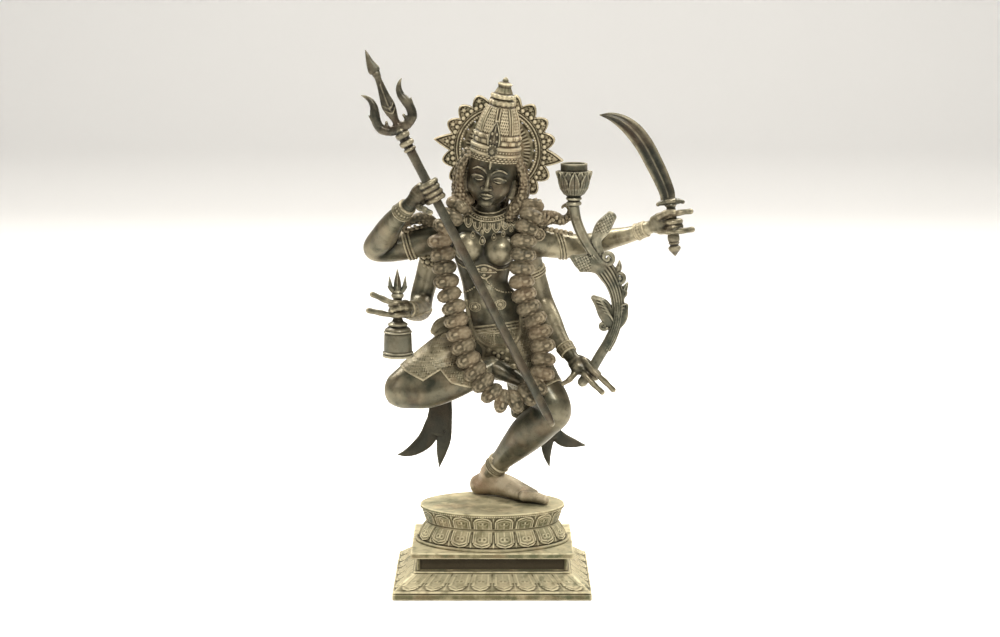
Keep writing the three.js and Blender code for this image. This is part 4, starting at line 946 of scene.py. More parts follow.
HALO_PATINA = patina(
    "halo_patina",
    metal=(0.125, 0.1, 0.062),
    green=(0.082, 0.078, 0.048),
    brown=(0.16, 0.11, 0.066),
    dust=(0.32, 0.265, 0.17),
    rubbed_and_highlight=(0.46, 0.4, 0.27),
    pit=(0.028, 0.021, 0.013),
    gloss=0.5,
    shine=0.25,
    veil=0.6,
)
halo = Wax((-68, 21.5, HALO_MIDDLE - 60), (68, 32.5, HALO_MIDDLE + 60), 0.73)
where, (x, y, z) = halo.patch((-99, -99, -99), (99, 99, 199))
radius = np.hypot(x, z - HALO_MIDDLE)
angle = np.arctan2(z - HALO_MIDDLE, x)
turn = angle * HALO_TONGUES / (2 * math.pi)
beside = np.abs(turn - np.round(turn)) * 2
pointed = (np.abs(x) > 40) & (np.abs(angle - np.round(angle / math.pi) * math.pi) < math.pi / HALO_TONGUES)
reach = TONGUE_FOOT + np.where(pointed, 16.8 * (1 - beside), 8.4 * (1 - beside ** 1.7))


def bead_row(at, count, size):
    """Round beads along a circle of the halo."""
    spin = angle * count / (2 * math.pi)
    off = (spin - np.round(spin)) * 2 * math.pi / count * radius
    return np.sqrt(np.maximum(size ** 2 - off ** 2 - (radius - at) ** 2, 0))


edge = (reach - radius) * np.where(pointed, 0.5, 0.85)
front = 26.0 - 1.9 * ease(35.5, 37.5, radius) + np.zeros_like(y)
front = front + 0.6 * np.cos(angle * 54) * np.exp(-((radius - 29) / 3.4) ** 4)
front = front + 1.1 * np.exp(-((radius - 40.2) / 0.7) ** 2) + 1.1 * np.exp(-((radius - 42.9) / 0.6) ** 2)
front = front + 1.3 * ease(43.8, 44.8, radius)
front = front - bead_row(46.4, 54, 2.3) - bead_row(38.3, 90, 1.1) * 0.7
front = front - 1.3 * np.exp(-((edge - 0.9) / 0.7) ** 2) * (radius > 48)
front = front + 1.0 * np.exp(-((edge - 2.2) / 0.5) ** 2) * (radius > 48)
off = np.sign(turn - np.round(turn)) * beside * radius * math.pi / HALO_TONGUES
level = radius - 51.8
ring = np.hypot(off, level)
petals = np.clip(np.cos(6 * np.arctan2(level, off)), 0, 1)
front = front + 1.5 * petals * np.exp(-((ring - 3.0) / 0.8) ** 2) * (edge > 1.4)
front = front - 1.2 * np.sqrt(np.clip(1 - (ring / 1.9) ** 2, 0, 1))
shape = np.maximum(np.maximum(front - y, y - 30.4), (radius - reach) * 0.8)
for k in range(HALO_STUDS):
    spin = 2 * math.pi * (k + 0.5) / HALO_STUDS
    stud_x, stud_z = STUD_CIRCLE * math.cos(spin), HALO_MIDDLE + STUD_CIRCLE * math.sin(spin)
    shape = np.maximum(shape, 1.0 - np.hypot(x - stud_x, z - stud_z))
halo.field[where] = shape
halo.limb([[0, 10, 24, 9, 10], [0, 27, 25, 8, 9]], blend=2, front=(0, 0, 1))
pour_on_head("halo", *halo.surface(0.03), HALO_PATINA)

# The garland is cast with the body: a cord hung with small heads, each with a curly cap and a
# round face turned out. It runs over both shoulders, down the sides and across the lap, with plain
# cord behind the neck.
GARLAND_LINE = [
    [-31, -10, 309], [-42, -20, 290], [-51, -24, 274], [-48, -27, 257], [-46, -29, 240], [-43, -32, 222],
    [-37, -35, 205], [-34, -38, 188], [-28, -43, 168], [-19, -49, 149], [-6, -52, 131], [7, -50, 117],
    [20, -47, 114], [34, -45, 121], [47, -43, 134], [50, -40, 150], [50, -37, 164], [48, -34, 178],
    [43, -31, 192], [36, -29, 205], [31, -27, 219], [29, -26, 233], [29, -25, 247], [31, -24, 261],
    [31, -22, 273], [36, -18, 287], [40, -9, 301], [33, 8, 303], [14, 24, 297], [-6, 27, 295], [-24, 20, 299],
]
GARLAND_PITCH = 13.4
GARLAND_MIDDLE = 214.0
BEHIND_NECK = 4
LITTLE_HEAD_STRETCH = np.array([1.1, 1.06, 1.2])

little = Wax((-9.5, -10.5, -14), (9.5, 10, 14), 1.1)
little.ball((0, 0.3, 3.2), (6.7, 7.3, 7.2))
little.ball((0, -0.4, -3.6), (6.2, 7.0, 7.2), blend=2)
little.ball((0, -7.3, -2.4), (1.2, 1.2, 2.2), blend=0.8)
for side in (-1, 1):
    little.limb([[side * 1.6, -7.6, 0.4, 0.4], [side * 3.3, -7.0, -0.3, 0.6], [side * 5.0, -5.5, 0.4, 0.4]],
                blend=0.4, step=1, cut=True)
    little.limb([[side * 1.0, -7.6, 2.0, 0.5], [side * 4.6, -5.9, 2.0, 0.5]], blend=0.8, step=1)
    little.ball((side * 5.9, 0.5, -2), (1.2, 1.6, 2.4), blend=0.6)
little.limb([[-2.4, -6.4, -6.4, 0.6], [0, -7.4, -6.8, 0.8], [2.4, -6.4, -6.4, 0.6]], blend=0.6, step=1)
curled(little, 2.3, 0.3)
little_points, little_faces = little.surface(0.02)


def closed_curve(points, step):
    """Evenly spaced places on a smooth closed line."""
    loop = np.array(points[-2:] + points + points[:2], float)
    fine = curve(np.hstack([loop, np.zeros((len(loop), 2))]), 0.5)[:, :3]
    first = np.argmin(np.linalg.norm(fine[: len(fine) // 6] - points[0], axis=1))
    last = len(fine) // 2 + np.argmin(np.linalg.norm(fine[len(fine) // 2:] - points[0], axis=1))
    fine = fine[first:last + 1]
    length = np.concatenate([[0], np.cumsum(np.linalg.norm(np.diff(fine, axis=0), axis=1))])
    count = round(length[-1] / step)
    spots = (np.arange(count) + 0.5) / count * length[-1]
    place = np.stack([np.interp(spots, length, fine[:, i]) for i in range(3)], -1)
    ahead = np.stack([np.interp(spots + 1, length, fine[:, i], period=length[-1]) for i in range(3)], -1)
    return place, ahead - place, fine


chance = np.random.default_rng(7)
places, ways, cord_line = closed_curve(GARLAND_LINE, GARLAND_PITCH)
heads = []
for spot, way in zip(places, ways):
    if spot[1] > BEHIND_NECK:
        continue
    way = unit(way)
    out = np.array([0.2 * spot[0], spot[1] - 8, max(0.0, spot[2] - 285)])
    out = unit(out - out.dot(way) * way)
    up = np.cross(way, out)
    inward = np.array([0.0, spot[1], GARLAND_MIDDLE]) - spot
    up = up if up.dot(inward) > 0 else -up
    lean = turned_about(*chance.uniform(-5, 5, 3))
    axes = np.stack([np.cross(-out, up), -out, up], -1) @ lean
    size = chance.uniform(0.97, 1.03) * LITTLE_HEAD_STRETCH
    heads.append((little_points * size @ axes.T + spot, little_faces))
pour("garland_heads", *gather(heads), HAIR_PATINA)

cord = Wax((-62, -60, 100), (62, 36, 320), 1.6)
cord.limb([[*p, 3.4] for p in (*cord_line[::12], cord_line[0])], step=9)
pour("garland_cord", *cord.surface(), HAIR_PATINA)

# The trident is cast by itself and slid through the fist: a plain tapering shaft, a ringed collar
# and a head with a leaf-shaped middle blade between two curled prongs.
IMPLEMENT_PATINA = patina(
    "implement_patina",
    metal=(0.0397, 0.0397, 0.0278),
    green=(0.0278, 0.0331, 0.0252),
    brown=(0.0563, 0.0437, 0.0278),
    dust=(0.139, 0.126, 0.0861),
    rubbed_and_highlight=(0.241, 0.221, 0.155),
    pit=(0.00994, 0.00929, 0.00662),
    gloss=0.36,
    shine=0.4,
    veil=0.5,
    wax=0.12,
)


def stood(points, hold):
    """Points about a hold, stood along its axis with Y away from the viewer."""
    z = hold["axis"]
    y = unit(np.array([0.0, 1, 0]) - z[1] * z)
    return np.asarray(points) @ np.stack([np.cross(y, z), y, z]) + hold["at"]


def pour_held(name, parts, hold, node, finish, crease=None):
    """Pours an implement whose parts are measured along its hold."""
    points, faces = gather(parts)
    pour(name, stood(points, hold), faces, finish, node, "implement_bronze", crease=crease)


TRIDENT_PATINA = patina(
    "trident_patina",
    metal=(0.0214, 0.0195, 0.0151),
    green=(0.0227, 0.0258, 0.0208),
    brown=(0.0391, 0.0277, 0.0189),
    dust=(0.0945, 0.0832, 0.0567),
    rubbed_and_highlight=(0.189, 0.167, 0.113),
    pit=(0.00756, 0.0063, 0.00504),
    gloss=0.32,
    shine=0.35,
    veil=0.75,
    wax=0.14,
)
SHAFT_LINE = [
    (0.4, -258.6), (2.4, -257.4), (3.4, -253), (4.3, -244), (4.45, -200), (4.6, -60), (4.5, 30),
    (4.7, 43.5), (5.8, 44.2), (6.4, 45.4), (5.9, 46.8), (4.8, 47.4), (4.8, 49.0), (6.6, 49.8), (7.4, 51.8),
    (6.9, 54), (5.4, 55), (5.2, 57.2), (6.6, 58.4), (7.2, 60.6), (6.8, 62.6), (5.6, 63.6), (5.4, 66),
    (4.6, 67.4), (0.6, 67.6),
]
pour_held("trident_shaft", [lathe(SHAFT_LINE, 32, 1.2)], TRIDENT_HOLD, "trident", TRIDENT_PATINA, crease=50)

HEAD_OF_TRIDENT_LEAN = 4
prongs = Wax((-27, -7, -3), (27, 7, 88), 0.7)
prongs.limb([[-16.5, 0, 7.4, 3.4, 3.6], [-9, 0, 3.6, 4.6, 4], [0, 0, 3.0, 5.4, 4.6], [9, 0, 3.6, 4.6, 4],
             [16.5, 0, 7.4, 3.4, 3.6]], blend=2, front=(0, -1, 0))
prongs.limb([[0, 0, 2, 4.6, 4.2], [-0.4, 0, 12, 3.6, 3.6], [-0.8, 0, 20, 5.6, 4.0], [-1, 0, 27, 6.6, 4.2],
             [-0.8, 0, 36, 5.2, 3.6], [0, 0, 48, 3.6, 3.0], [0.5, 0, 58, 2.8, 2.5]], blend=1.5)
prongs.limb([[0.5, 0, 56.4, 3.6, 3.0], [0.4, 0, 59.4, 4.2, 3.2], [0.2, 0, 60.6, 3.0, 2.6]], blend=0.8)
prongs.limb([[0.5, 0, 60, 2.2, 2.2], [0.1, 0, 62.4, 5.8, 2.9], [-0.3, 0, 66, 5.4, 2.8],
             [-0.6, 0, 73, 3.4, 2.1], [-0.2, 0, 79, 1.9, 1.5], [0, 0, 84, 0.5, 0.5]], blend=0.5, step=1.5)
for side in (-1, 1):
    prongs.limb([[side * 12, 0, 5.4, 4.4, 3.8], [side * 16.6, 0, 10, 4.6, 3.9],
                 [side * 17.6, 0, 17, 4.6, 3.9], [side * 16, 0, 25, 4.6, 3.8],
                 [side * 14.2, 0, 31, 3.8, 3.3], [side * 14.6, 0, 37.4, 3.0, 2.6],
                 [side * 17.4, 0, 42.6, 1.8, 1.8], [side * 21, 0, 46, 0.5, 0.5]], blend=1.2, step=1.5)
    prongs.limb([[side * 20.6, 0, 21.5, 1.6], [side * 22.4, 0, 26, 0.4]], blend=1.6, step=1.5)
    prongs.limb([[side * 9, 0, 13, 1.4], [side * 10.6, 0, 7, 2.2]], blend=1.6, step=1.5)
for height in (21, 26):
    prongs.limb([[-6.4, -3.0, height + 3, 0.4], [0, -4.3, height - 2, 0.7], [5.6, -3.0, height + 3, 0.4]],
                blend=0.8, step=1.5)
prongs.limb([[-0.6, -3.4, 18, 0.5], [-0.8, -4.3, 27, 0.8], [0, -3.0, 48, 0.5]], blend=0.9, step=2)
points, faces = prongs.surface()
points = points @ turned_about(0, -HEAD_OF_TRIDENT_LEAN, 0) + (0, 0, 65)
pour_held("trident_prongs", [(points, faces)], TRIDENT_HOLD, "trident", TRIDENT_PATINA)

# The sword has a flat blade that widens and bends back to its point, with a raised middle rib,
# a small guard, a ringed grip and a pointed pommel. It is one casting, slid through the fist.
HILT_LINE = [
    (0.4, -31.6), (1.4, -30.6), (3.2, -28.4), (5.6, -25.6), (6.3, -23.6), (5.6, -22.2), (4.4, -21.4),
    (4.2, -20.6), (4.8, -19.6), (5.6, -18.6), (4.9, -17.6), (5.7, -16.4), (6.0, -13.6), (5.6, -10.6),
    (4.9, -9.4), (4.9, -8), (5.0, 0), (4.9, 9), (4.5, 16.4), (5.2, 17.4), (6.1, 18.6), (5.4, 19.8),
    (5.4, 20.6), (6.6, 21.6), (6.8, 23.6), (5.6, 24.8), (0.6, 25),
]
BLADE_LINE = [
    (-2.3, 20, 0.8), (-2.2, 30, 0.86), (-5.6, 43, 0.93), (-12.6, 62, 1.0), (-20.7, 81, 1.02),
    (-30.0, 95.4, 0.97), (-39.6, 104.6, 0.78), (-50.4, 110.8, 0.46), (-61, 113.4, 0.05),
]
BLADE_HALF = 8.75
BLADE_THICK = 2.3
BLADE_SECTION = [
    (1, 0), (0.86, 0.3), (0.72, 0.5), (0.55, 0.52), (0.4, 0.55), (0.2, 0.66), (0.08, 0.95), (-0.02, 1.0),
    (-0.12, 0.68), (-0.35, 0.56), (-0.55, 0.52), (-0.72, 0.5), (-0.88, 0.28), (-1, 0), (-0.88, -0.26),
    (-0.72, -0.5), (-0.3, -0.6), (0, -0.7), (0.3, -0.6), (0.72, -0.5), (0.86, -0.28),
]


def make_blade():
    """Sweeps the blade's section along its bent line."""
    rows = curve([[x, 0, z, share, 0] for x, z, share in BLADE_LINE], 1.3)
    rings = []
    for i, row in enumerate(rows):
        along = unit(rows[min(i + 1, len(rows) - 1)][:3] - rows[max(i - 1, 0)][:3])
        across = np.cross([0, 1, 0], along)
        share = max(row[3], 0.04)
        thick = np.array([0, BLADE_THICK * math.sqrt(share), 0])
        rings.append([row[:3] + across * u * BLADE_HALF * share - thick * v for u, v in BLADE_SECTION])
    return skin(np.array(rings)[:, ::-1])


guard = Wax((-15, -8, 14), (15, 8, 30), 0.6)
guard.limb([[-12, 0, 21.2, 1.8, 2.4], [-6, 0, 22, 3.3, 4.4], [0, 0, 22.4, 4.0, 5.4], [6, 0, 22, 3.3, 4.4],
            [12, 0, 21.2, 1.8, 2.4]], front=(0, -1, 0), step=1.5)
guard.ball((-12.2, 0, 20.6), 2.1, blend=0.6)
guard.ball((12.2, 0, 20.6), 2.1, blend=0.6)
pour_held("sword_casting", [lathe(HILT_LINE, 28, 1.0), make_blade(), guard.surface()],
          SWORD_HOLD, "sword", TRIDENT_PATINA, crease=60)

# The bell is one casting, held by a short handle that ends in three leaves. Its body is hollow,
# with ringed shoulders, a plain waist and a double rim.
BELL_LINE = [
    (13.4, -47.9), (14.9, -48.0), (15.4, -47.2), (15.3, -46.0), (14.4, -45.4), (14.3, -44.8), (15.1, -44.2),
    (14.9, -43.0), (13.9, -42.4), (13.7, -34), (13.5, -27), (13.1, -24.4), (13.9, -23.8), (13.9, -22.8),
    (12.8, -22.2), (12.4, -20.4), (9.6, -18.4), (9.0, -17.4), (9.8, -16.4), (9.6, -15.2), (7.6, -14),
    (5.6, -12.8), (4.6, -10), (4.1, -5), (4.0, 0), (4.1, 7), (4.6, 9.6), (5.7, 10.8), (6.3, 12.4),
    (5.8, 14), (4.6, 15), (4.2, 16.6), (3.0, 18), (0.4, 18.4),
]
BELL_INSIDE = [(0.4, -25.4), (6, -25.8), (9.6, -27.4), (11.4, -31), (12.4, -40), (12.9, -46), (13.4, -47.9)]
leaves = Wax((-12, -7, 12), (12, 7, 42), 0.55)
leaves.limb([[0, 0, 14, 3, 3], [0, 0, 20, 3.8, 3.4], [0, 0, 27, 3.2, 2.6], [0, 0, 33, 1.7, 1.5],
             [0, 0, 38.6, 0.4]], blend=0.6, step=1.5)
for side in (-1, 1):
    leaves.limb([[side * 2, 0, 15, 2.2, 2.4], [side * 5.8, 0, 18.6, 2.4, 2.4], [side * 7.2, 0, 24, 1.9, 1.9],
                 [side * 7.4, 0, 28, 1.1, 1.2], [side * 8.2, 0, 31.6, 0.4]], blend=0.6, step=1.5)
    leaves.limb([[side * 7.6, 0, 19.4, 1.3], [side * 9.6, 0, 21.2, 0.5]], blend=0.8, step=1.5)
leaves.limb([[0, -3.0, 19, 0.4], [0, -3.2, 24, 0.6], [0, -1.6, 33, 0.3]], blend=0.5, step=1.5)
pour_held("bell_casting", [lathe(BELL_INSIDE + BELL_LINE[1:], 64, 1.2), leaves.surface()],
          BELL_HOLD, "bell", IMPLEMENT_PATINA, crease=45)

# The lotus has a solid stem bent like a bow, leaves cast on it, some scored in squares and some
# rolled at the tip, and an open flower cup with overlapping petals.
LOTUS_AT = np.array([80.5, -12.0, 305.0])
SCORE_PITCH = 2.7


def ridge(wax, line, side, front, girth, blend, step=4):
    """A raised line along a limb, at shares of its half width and of its half thickness in front."""
    rows = []
    for i in range(1, len(line) - 1):
        along = unit(line[i + 1][:3] - line[i - 1][:3])
        out = unit(np.cross([0, -1, 0], along))
        rows.append([*(line[i][:3] + out * side * line[i][3] + [0, -front * line[i][4], 0]), girth])
    wax.limb(rows, blend=blend, step=step)


def leaf(wax, rows):
    """A leaf as a flat limb with a raised edge and middle rib on its front."""
    wax.limb(rows, blend=1.0, step=1.5)
    line = limb_line(rows, 2.0)
    for side in (-0.78, 0.78):
        ridge(wax, line, side, 0.6, 0.55, 0.5, step=3)
    ridge(wax, line, 0, 0.92, 0.54, 0.6, step=3)


def scroll(wax, centre, size, start, turns, thick, hand=1, y=-13.0):
    """A tightly rolled leaf tip."""
    rows = []
    for t in np.linspace(0, 1, 14):
        turn = math.radians(start) + hand * turns * 2 * math.pi * t
        radius = size * (1 - 0.82 * t)
        rows.append([centre[0] + radius * math.cos(turn), y, centre[1] + radius * math.sin(turn),
                     thick * (1 - 0.3 * t)])
    wax.limb(rows, blend=0.4, step=1.5)


stalk = Wax((62, -32, 118), (140, 2, 312), 0.72)
stalk.limb([[*p, 5.2] for p in STALK_LINE])
stalk.limb([[100, -12, 251, 6, 5], [112, -12.5, 240, 9.6, 5.4], [121, -12.5, 224, 7.6, 5.6],
            [125, -12.5, 206, 6.4, 5.6], [124, -13, 190, 5.4, 5.4]], blend=2, step=2)
leaf(stalk, [[105, -12, 256, 6, 4], [103, -12.5, 270, 5.4, 4.6], [109, -13, 282, 8, 5],
             [118, -12.5, 294.5, 5.4, 3.4]])
leaf(stalk, [[109, -13, 243, 8.6, 5.6], [100, -13, 246, 8.4, 5.6], [90, -13, 247.5, 8.6, 5],
             [80, -12, 252.5, 3, 3]])
leaf(stalk, [[121, -12.5, 184, 5, 4.6], [114, -13, 195, 8, 5], [109, -13, 205, 7.2, 4.4],
             [101, -12, 212, 3, 3]])
leaf(stalk, [[122, -13, 182, 5, 4], [129, -12.5, 192, 5.6, 4.4], [132.5, -12, 204, 3, 3]])
leaf(stalk, [[124, -13, 208, 5, 4.6], [129, -12.5, 217, 4.4, 4], [134.2, -12, 227, 1.2, 1.2]])
leaf(stalk, [[121, -13, 236, 3, 3.4], [125.4, -12.5, 242, 3.2, 3], [126, -12, 249.4, 0.8, 0.8]])
scroll(stalk, (113.6, 252.6), 7.2, -110, 1.3, 2.5, y=-15.5)
scroll(stalk, (125.6, 233), 6.4, -120, 1.25, 2.4, y=-15)
scroll(stalk, (129.4, 217.6), 4.4, -130, 1.1, 1.9, y=-14.5)
scroll(stalk, (110.6, 184.6), 4.4, -40, 1.2, 1.9, hand=-1, y=-14.5)
scroll(stalk, (88, 241), 3.2, 60, 0.9, 1.5, hand=-1)


def scored(wax, low, high):
    """Cuts crossed lines into the front of a leaf."""
    where, (x, y, z) = wax.patch(low, high)
    waves = [np.sin((x * a + z * b) * math.pi / SCORE_PITCH) for a, b in ((0.9, 0.44), (0.44, -0.9))]
    lines = [np.exp(-(wave / 0.3) ** 2) for wave in waves]
    wax.field[where] += 0.75 * np.maximum(*lines) * (y < -15.0)


scored(stalk, (102, -40, 278), (122, 4, 298))
scored(stalk, (78, -40, 236), (97, 4, 256))
for k in range(5):
    bow = [[101 + 2.6 * k, -16.6 - 0.3 * k, 212 - 3.4 * k, 0.7], [107 + 2.4 * k, -18, 210.6 - 3.8 * k, 0.9],
           [112.6 + 2.2 * k, -17.4, 205 - 4.4 * k, 0.8]]
    stalk.limb(bow, blend=0.6, step=1.5)
for k in range(6):
    stalk.limb([[121.5 + 0.5 * k, -17.8, 186 + 3.2 * k, 0.8], [126.5 + 0.6 * k, -17.2, 189.6 + 3.3 * k, 0.8],
                [129.6 + 0.5 * k, -15, 188 + 3.6 * k, 0.7]], blend=0.5, step=1.5)
FLESHY_LINE = [
    [98, -12, 256, 5.4, 5.2], [104, -12, 249, 7, 5.2], [112, -12.5, 240, 9.6, 5.4],
    [121, -12.5, 224, 7.8, 5.6], [125, -12.5, 206, 6.6, 5.6], [124, -13, 190, 5.6, 5.4],
    [119, -14, 173, 5.4, 5.3], [112, -16.5, 160, 5.2, 5.2],
]
fleshy = curve(FLESHY_LINE, 2)
for side in (-0.82, -0.5, -0.17, 0.17, 0.5, 0.82):
    ridge(stalk, fleshy, side, math.sqrt(1 - side * side), 0.85, 0.4)
neck = curve([[*p, 5.2, 5.2] for p in STALK_LINE], 2)[-35:-5]
for side in (-0.5, 0.5):
    ridge(stalk, neck, side, math.sqrt(1 - side * side), 0.5, 0.6)
pour("stem_and_leaves", *stalk.surface(0.03), IMPLEMENT_PATINA, "lotus_stalk", "implement_bronze")

CUP_LINE = [
    (4.8, -3), (5.4, -1), (7.0, -0.2), (7.8, 1.2), (7.4, 2.6), (6.2, 3.4), (6.4, 4.4), (7.6, 5.2),
    (7.9, 6.6), (6.8, 7.8), (7.4, 9.2), (9.6, 12), (12.2, 16), (13.6, 21), (14.1, 27), (14.4, 32),
    (14.6, 33.4), (13.2, 33.8), (13.1, 37), (13.3, 40.6), (12.4, 41.1), (11.0, 40.8), (10.7, 38),
    (10.4, 30), (9.0, 23), (0.6, 22),
]
CUP_PETALS = 8


def cup_relief(angle, height, radius):
    """Two rounds of overlapping petals on the outside of the cup."""
    out = np.zeros_like(angle)
    if not 8.5 < height < 33.5 or radius < 7.3:
        return out
    for shift, tip, proud in ((0.0, 35.5, 0.7), (0.5, 33.5, 1.7)):
        turn = (angle / (2 * math.pi) * CUP_PETALS + shift) % 1 - 0.5
        share = min(1, (height - 8.5) / (tip - 8.5))
        inside = (0.49 * (1 - share ** 3.4) - np.abs(turn)) * 2 * math.pi * 13 / CUP_PETALS
        petal = proud + 2.4 * share ** 4 - 0.5 * np.exp(-(turn / 0.035) ** 2) - 0.22 * np.cos(turn * 44) ** 8
        petal = petal + 0.55 * np.exp(-((inside - 0.6) / 0.42) ** 2)
        out = np.where(inside > 0, np.maximum(out, petal), out)
    return out * min(1, (height - 8.5) / 2)


points, faces = lathe(CUP_LINE, 136, 0.8, cup_relief)
pour("lotus_cup", points + LOTUS_AT, faces, IMPLEMENT_PATINA, "lotus_stalk", "implement_bronze", crease=60)

# Two long sash ends are cast on the belt behind the hips. They hang flat behind the legs and fork
# into curled tails. A panel of pleated cloth shows behind the standing thigh.
SASH_DEPTH = 28.0
SASH_PATINA = patina(
    "sash_patina",
    metal=(0.0248, 0.0242, 0.0187),
    green=(0.0198, 0.0231, 0.0187),
    brown=(0.033, 0.0264, 0.0187),
    dust=(0.0605, 0.055, 0.0385),
    rubbed_and_highlight=(0.0825, 0.077, 0.055),
    pit=(0.00825, 0.00715, 0.0055),
    gloss=0.5,
    shine=0.3,
    wax=0.05,
)


def ribbon(wax, rows, pleats=0.0):
    """A flat band of cloth, with an optional row of shallow pleats on its front."""
    wax.limb(rows, blend=0.8, step=2)
    if pleats:
        line = limb_line(rows, 2.5)
        for side in np.linspace(-0.66, 0.66, 4):
            ridge(wax, line, side, 0.86 * math.sqrt(1 - side * side), pleats, 0.7)


sash = Wax((-104, 18, 24), (-12, 46, 186), 0.95)
ribbon(sash, [[-20, 28, 172, 10, 5], [-42, 34, 136, 11, 3], [-51, 31, 106, 10.5, 3],
              [-54, SASH_DEPTH, 80, 13, 3], [-57, SASH_DEPTH, 66, 12, 2.8]], 0.35)
ribbon(sash, [[-60, 29, 78, 8, 2.6], [-67, 29, 60, 9, 2.8], [-80, 29, 48.5, 6.6, 2.4],
              [-90, 29, 44, 3.4, 2], [-97, 29, 43, 0.8, 0.8]])
ribbon(sash, [[-49, 29, 78, 8, 2.6], [-49.6, 29, 60, 7.6, 2.8], [-52, 29, 46, 5.4, 2.4],
              [-54.4, 29, 30, 0.8, 0.8]])
pour("sash_right", *sash.surface(), SASH_PATINA)
sash = Wax((20, 18, 24), (102, 48, 184), 0.95)
ribbon(sash, [[28, 32, 170, 10, 5], [44, 37, 136, 11, 3], [56, 34, 104, 10.5, 3],
              [62, SASH_DEPTH, 74, 8, 3], [63, SASH_DEPTH, 62, 7, 2.8]], 0.35)
ribbon(sash, [[62, 29, 68, 6, 2.6], [72, 29, 58.6, 7, 2.8], [83, 29, 55, 5, 2.4], [95.4, 29, 52.6, 0.8, 0.8]])
ribbon(sash, [[60, 29, 68, 6, 2.6], [56, 29, 54, 6.2, 2.8], [56, 29, 43, 4.2, 2.4],
              [58.4, 29, 30.6, 0.8, 0.8]])
pour("sash_left", *sash.surface(), SASH_PATINA)
panel = Wax((8, 12, 70), (56, 36, 152), 1.0)
ribbon(panel, [[30, 20, 134, 17, 7], [31, 25, 106, 15, 5], [28, 25, 84, 9, 3]], 1.0)
pour("cloth_behind_thigh", *panel.surface(), FIGURE_PATINA)

# A sea beast's curled tail rises from each shoulder, the ends of the upper armlets. They are cast
# with the body, scaled with small lumps, and the left one has a round flower boss before it.
tails = Wax((-96, -20, 268), (84, 12, 310), 0.8)
tails.limb([[43, 6, 275, 6], [50, 1, 289, 8, 6.5], [61, 0, 291, 6.6, 5.6], [70, 1, 288, 4.8],
            [76.4, 3, 293, 3.3], [76.8, 4, 299, 2.5], [73, 4, 303, 1.9], [69.5, 4, 300.5, 1.3]],
           blend=1, step=2)
tails.limb([[-56, 0, 282, 6], [-66, -4, 290, 6.4], [-77, -7, 290, 5], [-86, -10.5, 285, 3.6],
            [-87, -11, 279.6, 2.4], [-83, -11, 278.6, 1.5]], blend=1, step=2)
for k in range(6):
    turn = math.radians(35 + 27 * k)
    tails.limb([[52, -5.6, 284, 1.2], [52 + 5.6 * math.cos(turn), -7.2, 284 + 6 * math.sin(turn), 1.5],
                [52 + 9.4 * math.cos(turn), -4.6, 284 + 11 * math.sin(turn), 1.3]], blend=0.4, step=1.5)
    tails.ball((60 + 3.4 * k, -6.2 + 0.7 * k, 289 + 2.2 * math.sin(k * 1.9)), 2.3 - 0.14 * k, blend=0.5)
    tails.ball((-58 - 4.6 * k, -5.8 - 1.4 * k, 287 + 3.2 * math.sin(k * 1.1)), 2.2 - 0.12 * k, blend=0.5)
    tails.ball((54 + 4.8 * k, 2 + 1.2 * k, 279.4 - 1.1 * k), (2.9, 2.8, 2.6), blend=0.8)
    tails.ball((-60 - 4.8 * k, -3 - 0.6 * k, 283.6 - 1.0 * k), (2.9, 2.8, 2.6), blend=0.8)
for size, girth in ((5.8, 1.1), (3.2, 1.0)):
    ring = []
    for a in np.linspace(0, 2 * math.pi, 17):
        wide = size * math.cos(a)
        ring.append([46 + wide, -9.4 + 0.12 * wide, 275 + size * math.sin(a), girth])
    tails.limb(ring, blend=0.3, step=1.5)
tails.ball((46, -8.6, 275), (5.6, 2.0, 5.6), blend=0.4)
tails.ball((46, -10.4, 275), 1.6, blend=0.3)
curled(tails, 3.0, 0.3)
pour("shoulder_tails", *tails.surface(), HAIR_PATINA)

# The jewellery is cast with the body: a deep collar with looped petals and drops, a clasp under
# the bust with beaded chains, two round bosses on the belly, a thick cord and a patterned belt.
ORNAMENT_PATINA = patina(
    "ornament_patina",
    metal=(0.0904, 0.0759, 0.0452),
    green=(0.0598, 0.0565, 0.0355),
    brown=(0.113, 0.0808, 0.0484),
    dust=(0.21, 0.174, 0.109),
    rubbed_and_highlight=(0.301, 0.263, 0.175),
    pit=(0.0113, 0.00888, 0.00565),
    gloss=0.48,
    shine=0.35,
    veil=0.5,
    wax=0.06,
)


def seat(places, lift=0.0):
    """Puts points given by x and z on the front of the body, a lift in front of the skin."""
    places = np.asarray(places, float)
    depths = np.arange(-62.0, 34.0, 0.75)
    probe = np.stack([
        np.repeat(places[:, :1], len(depths), 1),
        np.repeat(depths[None], len(places), 0),
        np.repeat(places[:, 1:2], len(depths), 1),
    ], -1)
    inside = body.at(probe) < 0
    hit = np.where(inside.any(1), inside.argmax(1), body.at(probe).argmin(1))
    return np.stack([places[:, 0], depths[hit] - 0.4 - lift, places[:, 1]], -1)


def lay(wax, places, girth, lift=0.0, step=1.2, beads=0.0):
    """Lays a wire, or beads at a spacing, along the front of the body."""
    fine = curve([[x, 0, z, 0, 0] for x, z in places], beads or step)
    spots = seat(fine[:, [0, 2]], lift)
    if beads:
        for spot in spots:
            wax.ball(spot, girth, blend=0.3)
    else:
        wax.limb([[*spot, girth] for spot in spots], blend=0.3, step=9)


def drop(wax, x, z, wide, tall):
    """A jewel shaped like a water drop in a raised rim."""
    angles = np.linspace(0, 2 * math.pi, 15)
    rim = [(x + wide * math.sin(a) * (1 - 0.35 * math.cos(a)), z + tall * math.cos(a)) for a in angles]
    lay(wax, rim, 0.55, 0.3, step=0.8)
    spot = seat([(x, z - 0.2 * tall)])[0]
    wax.ball(spot + (0, -0.3, 0), (wide * 0.62, 1.6, tall * 0.6), blend=0.3)


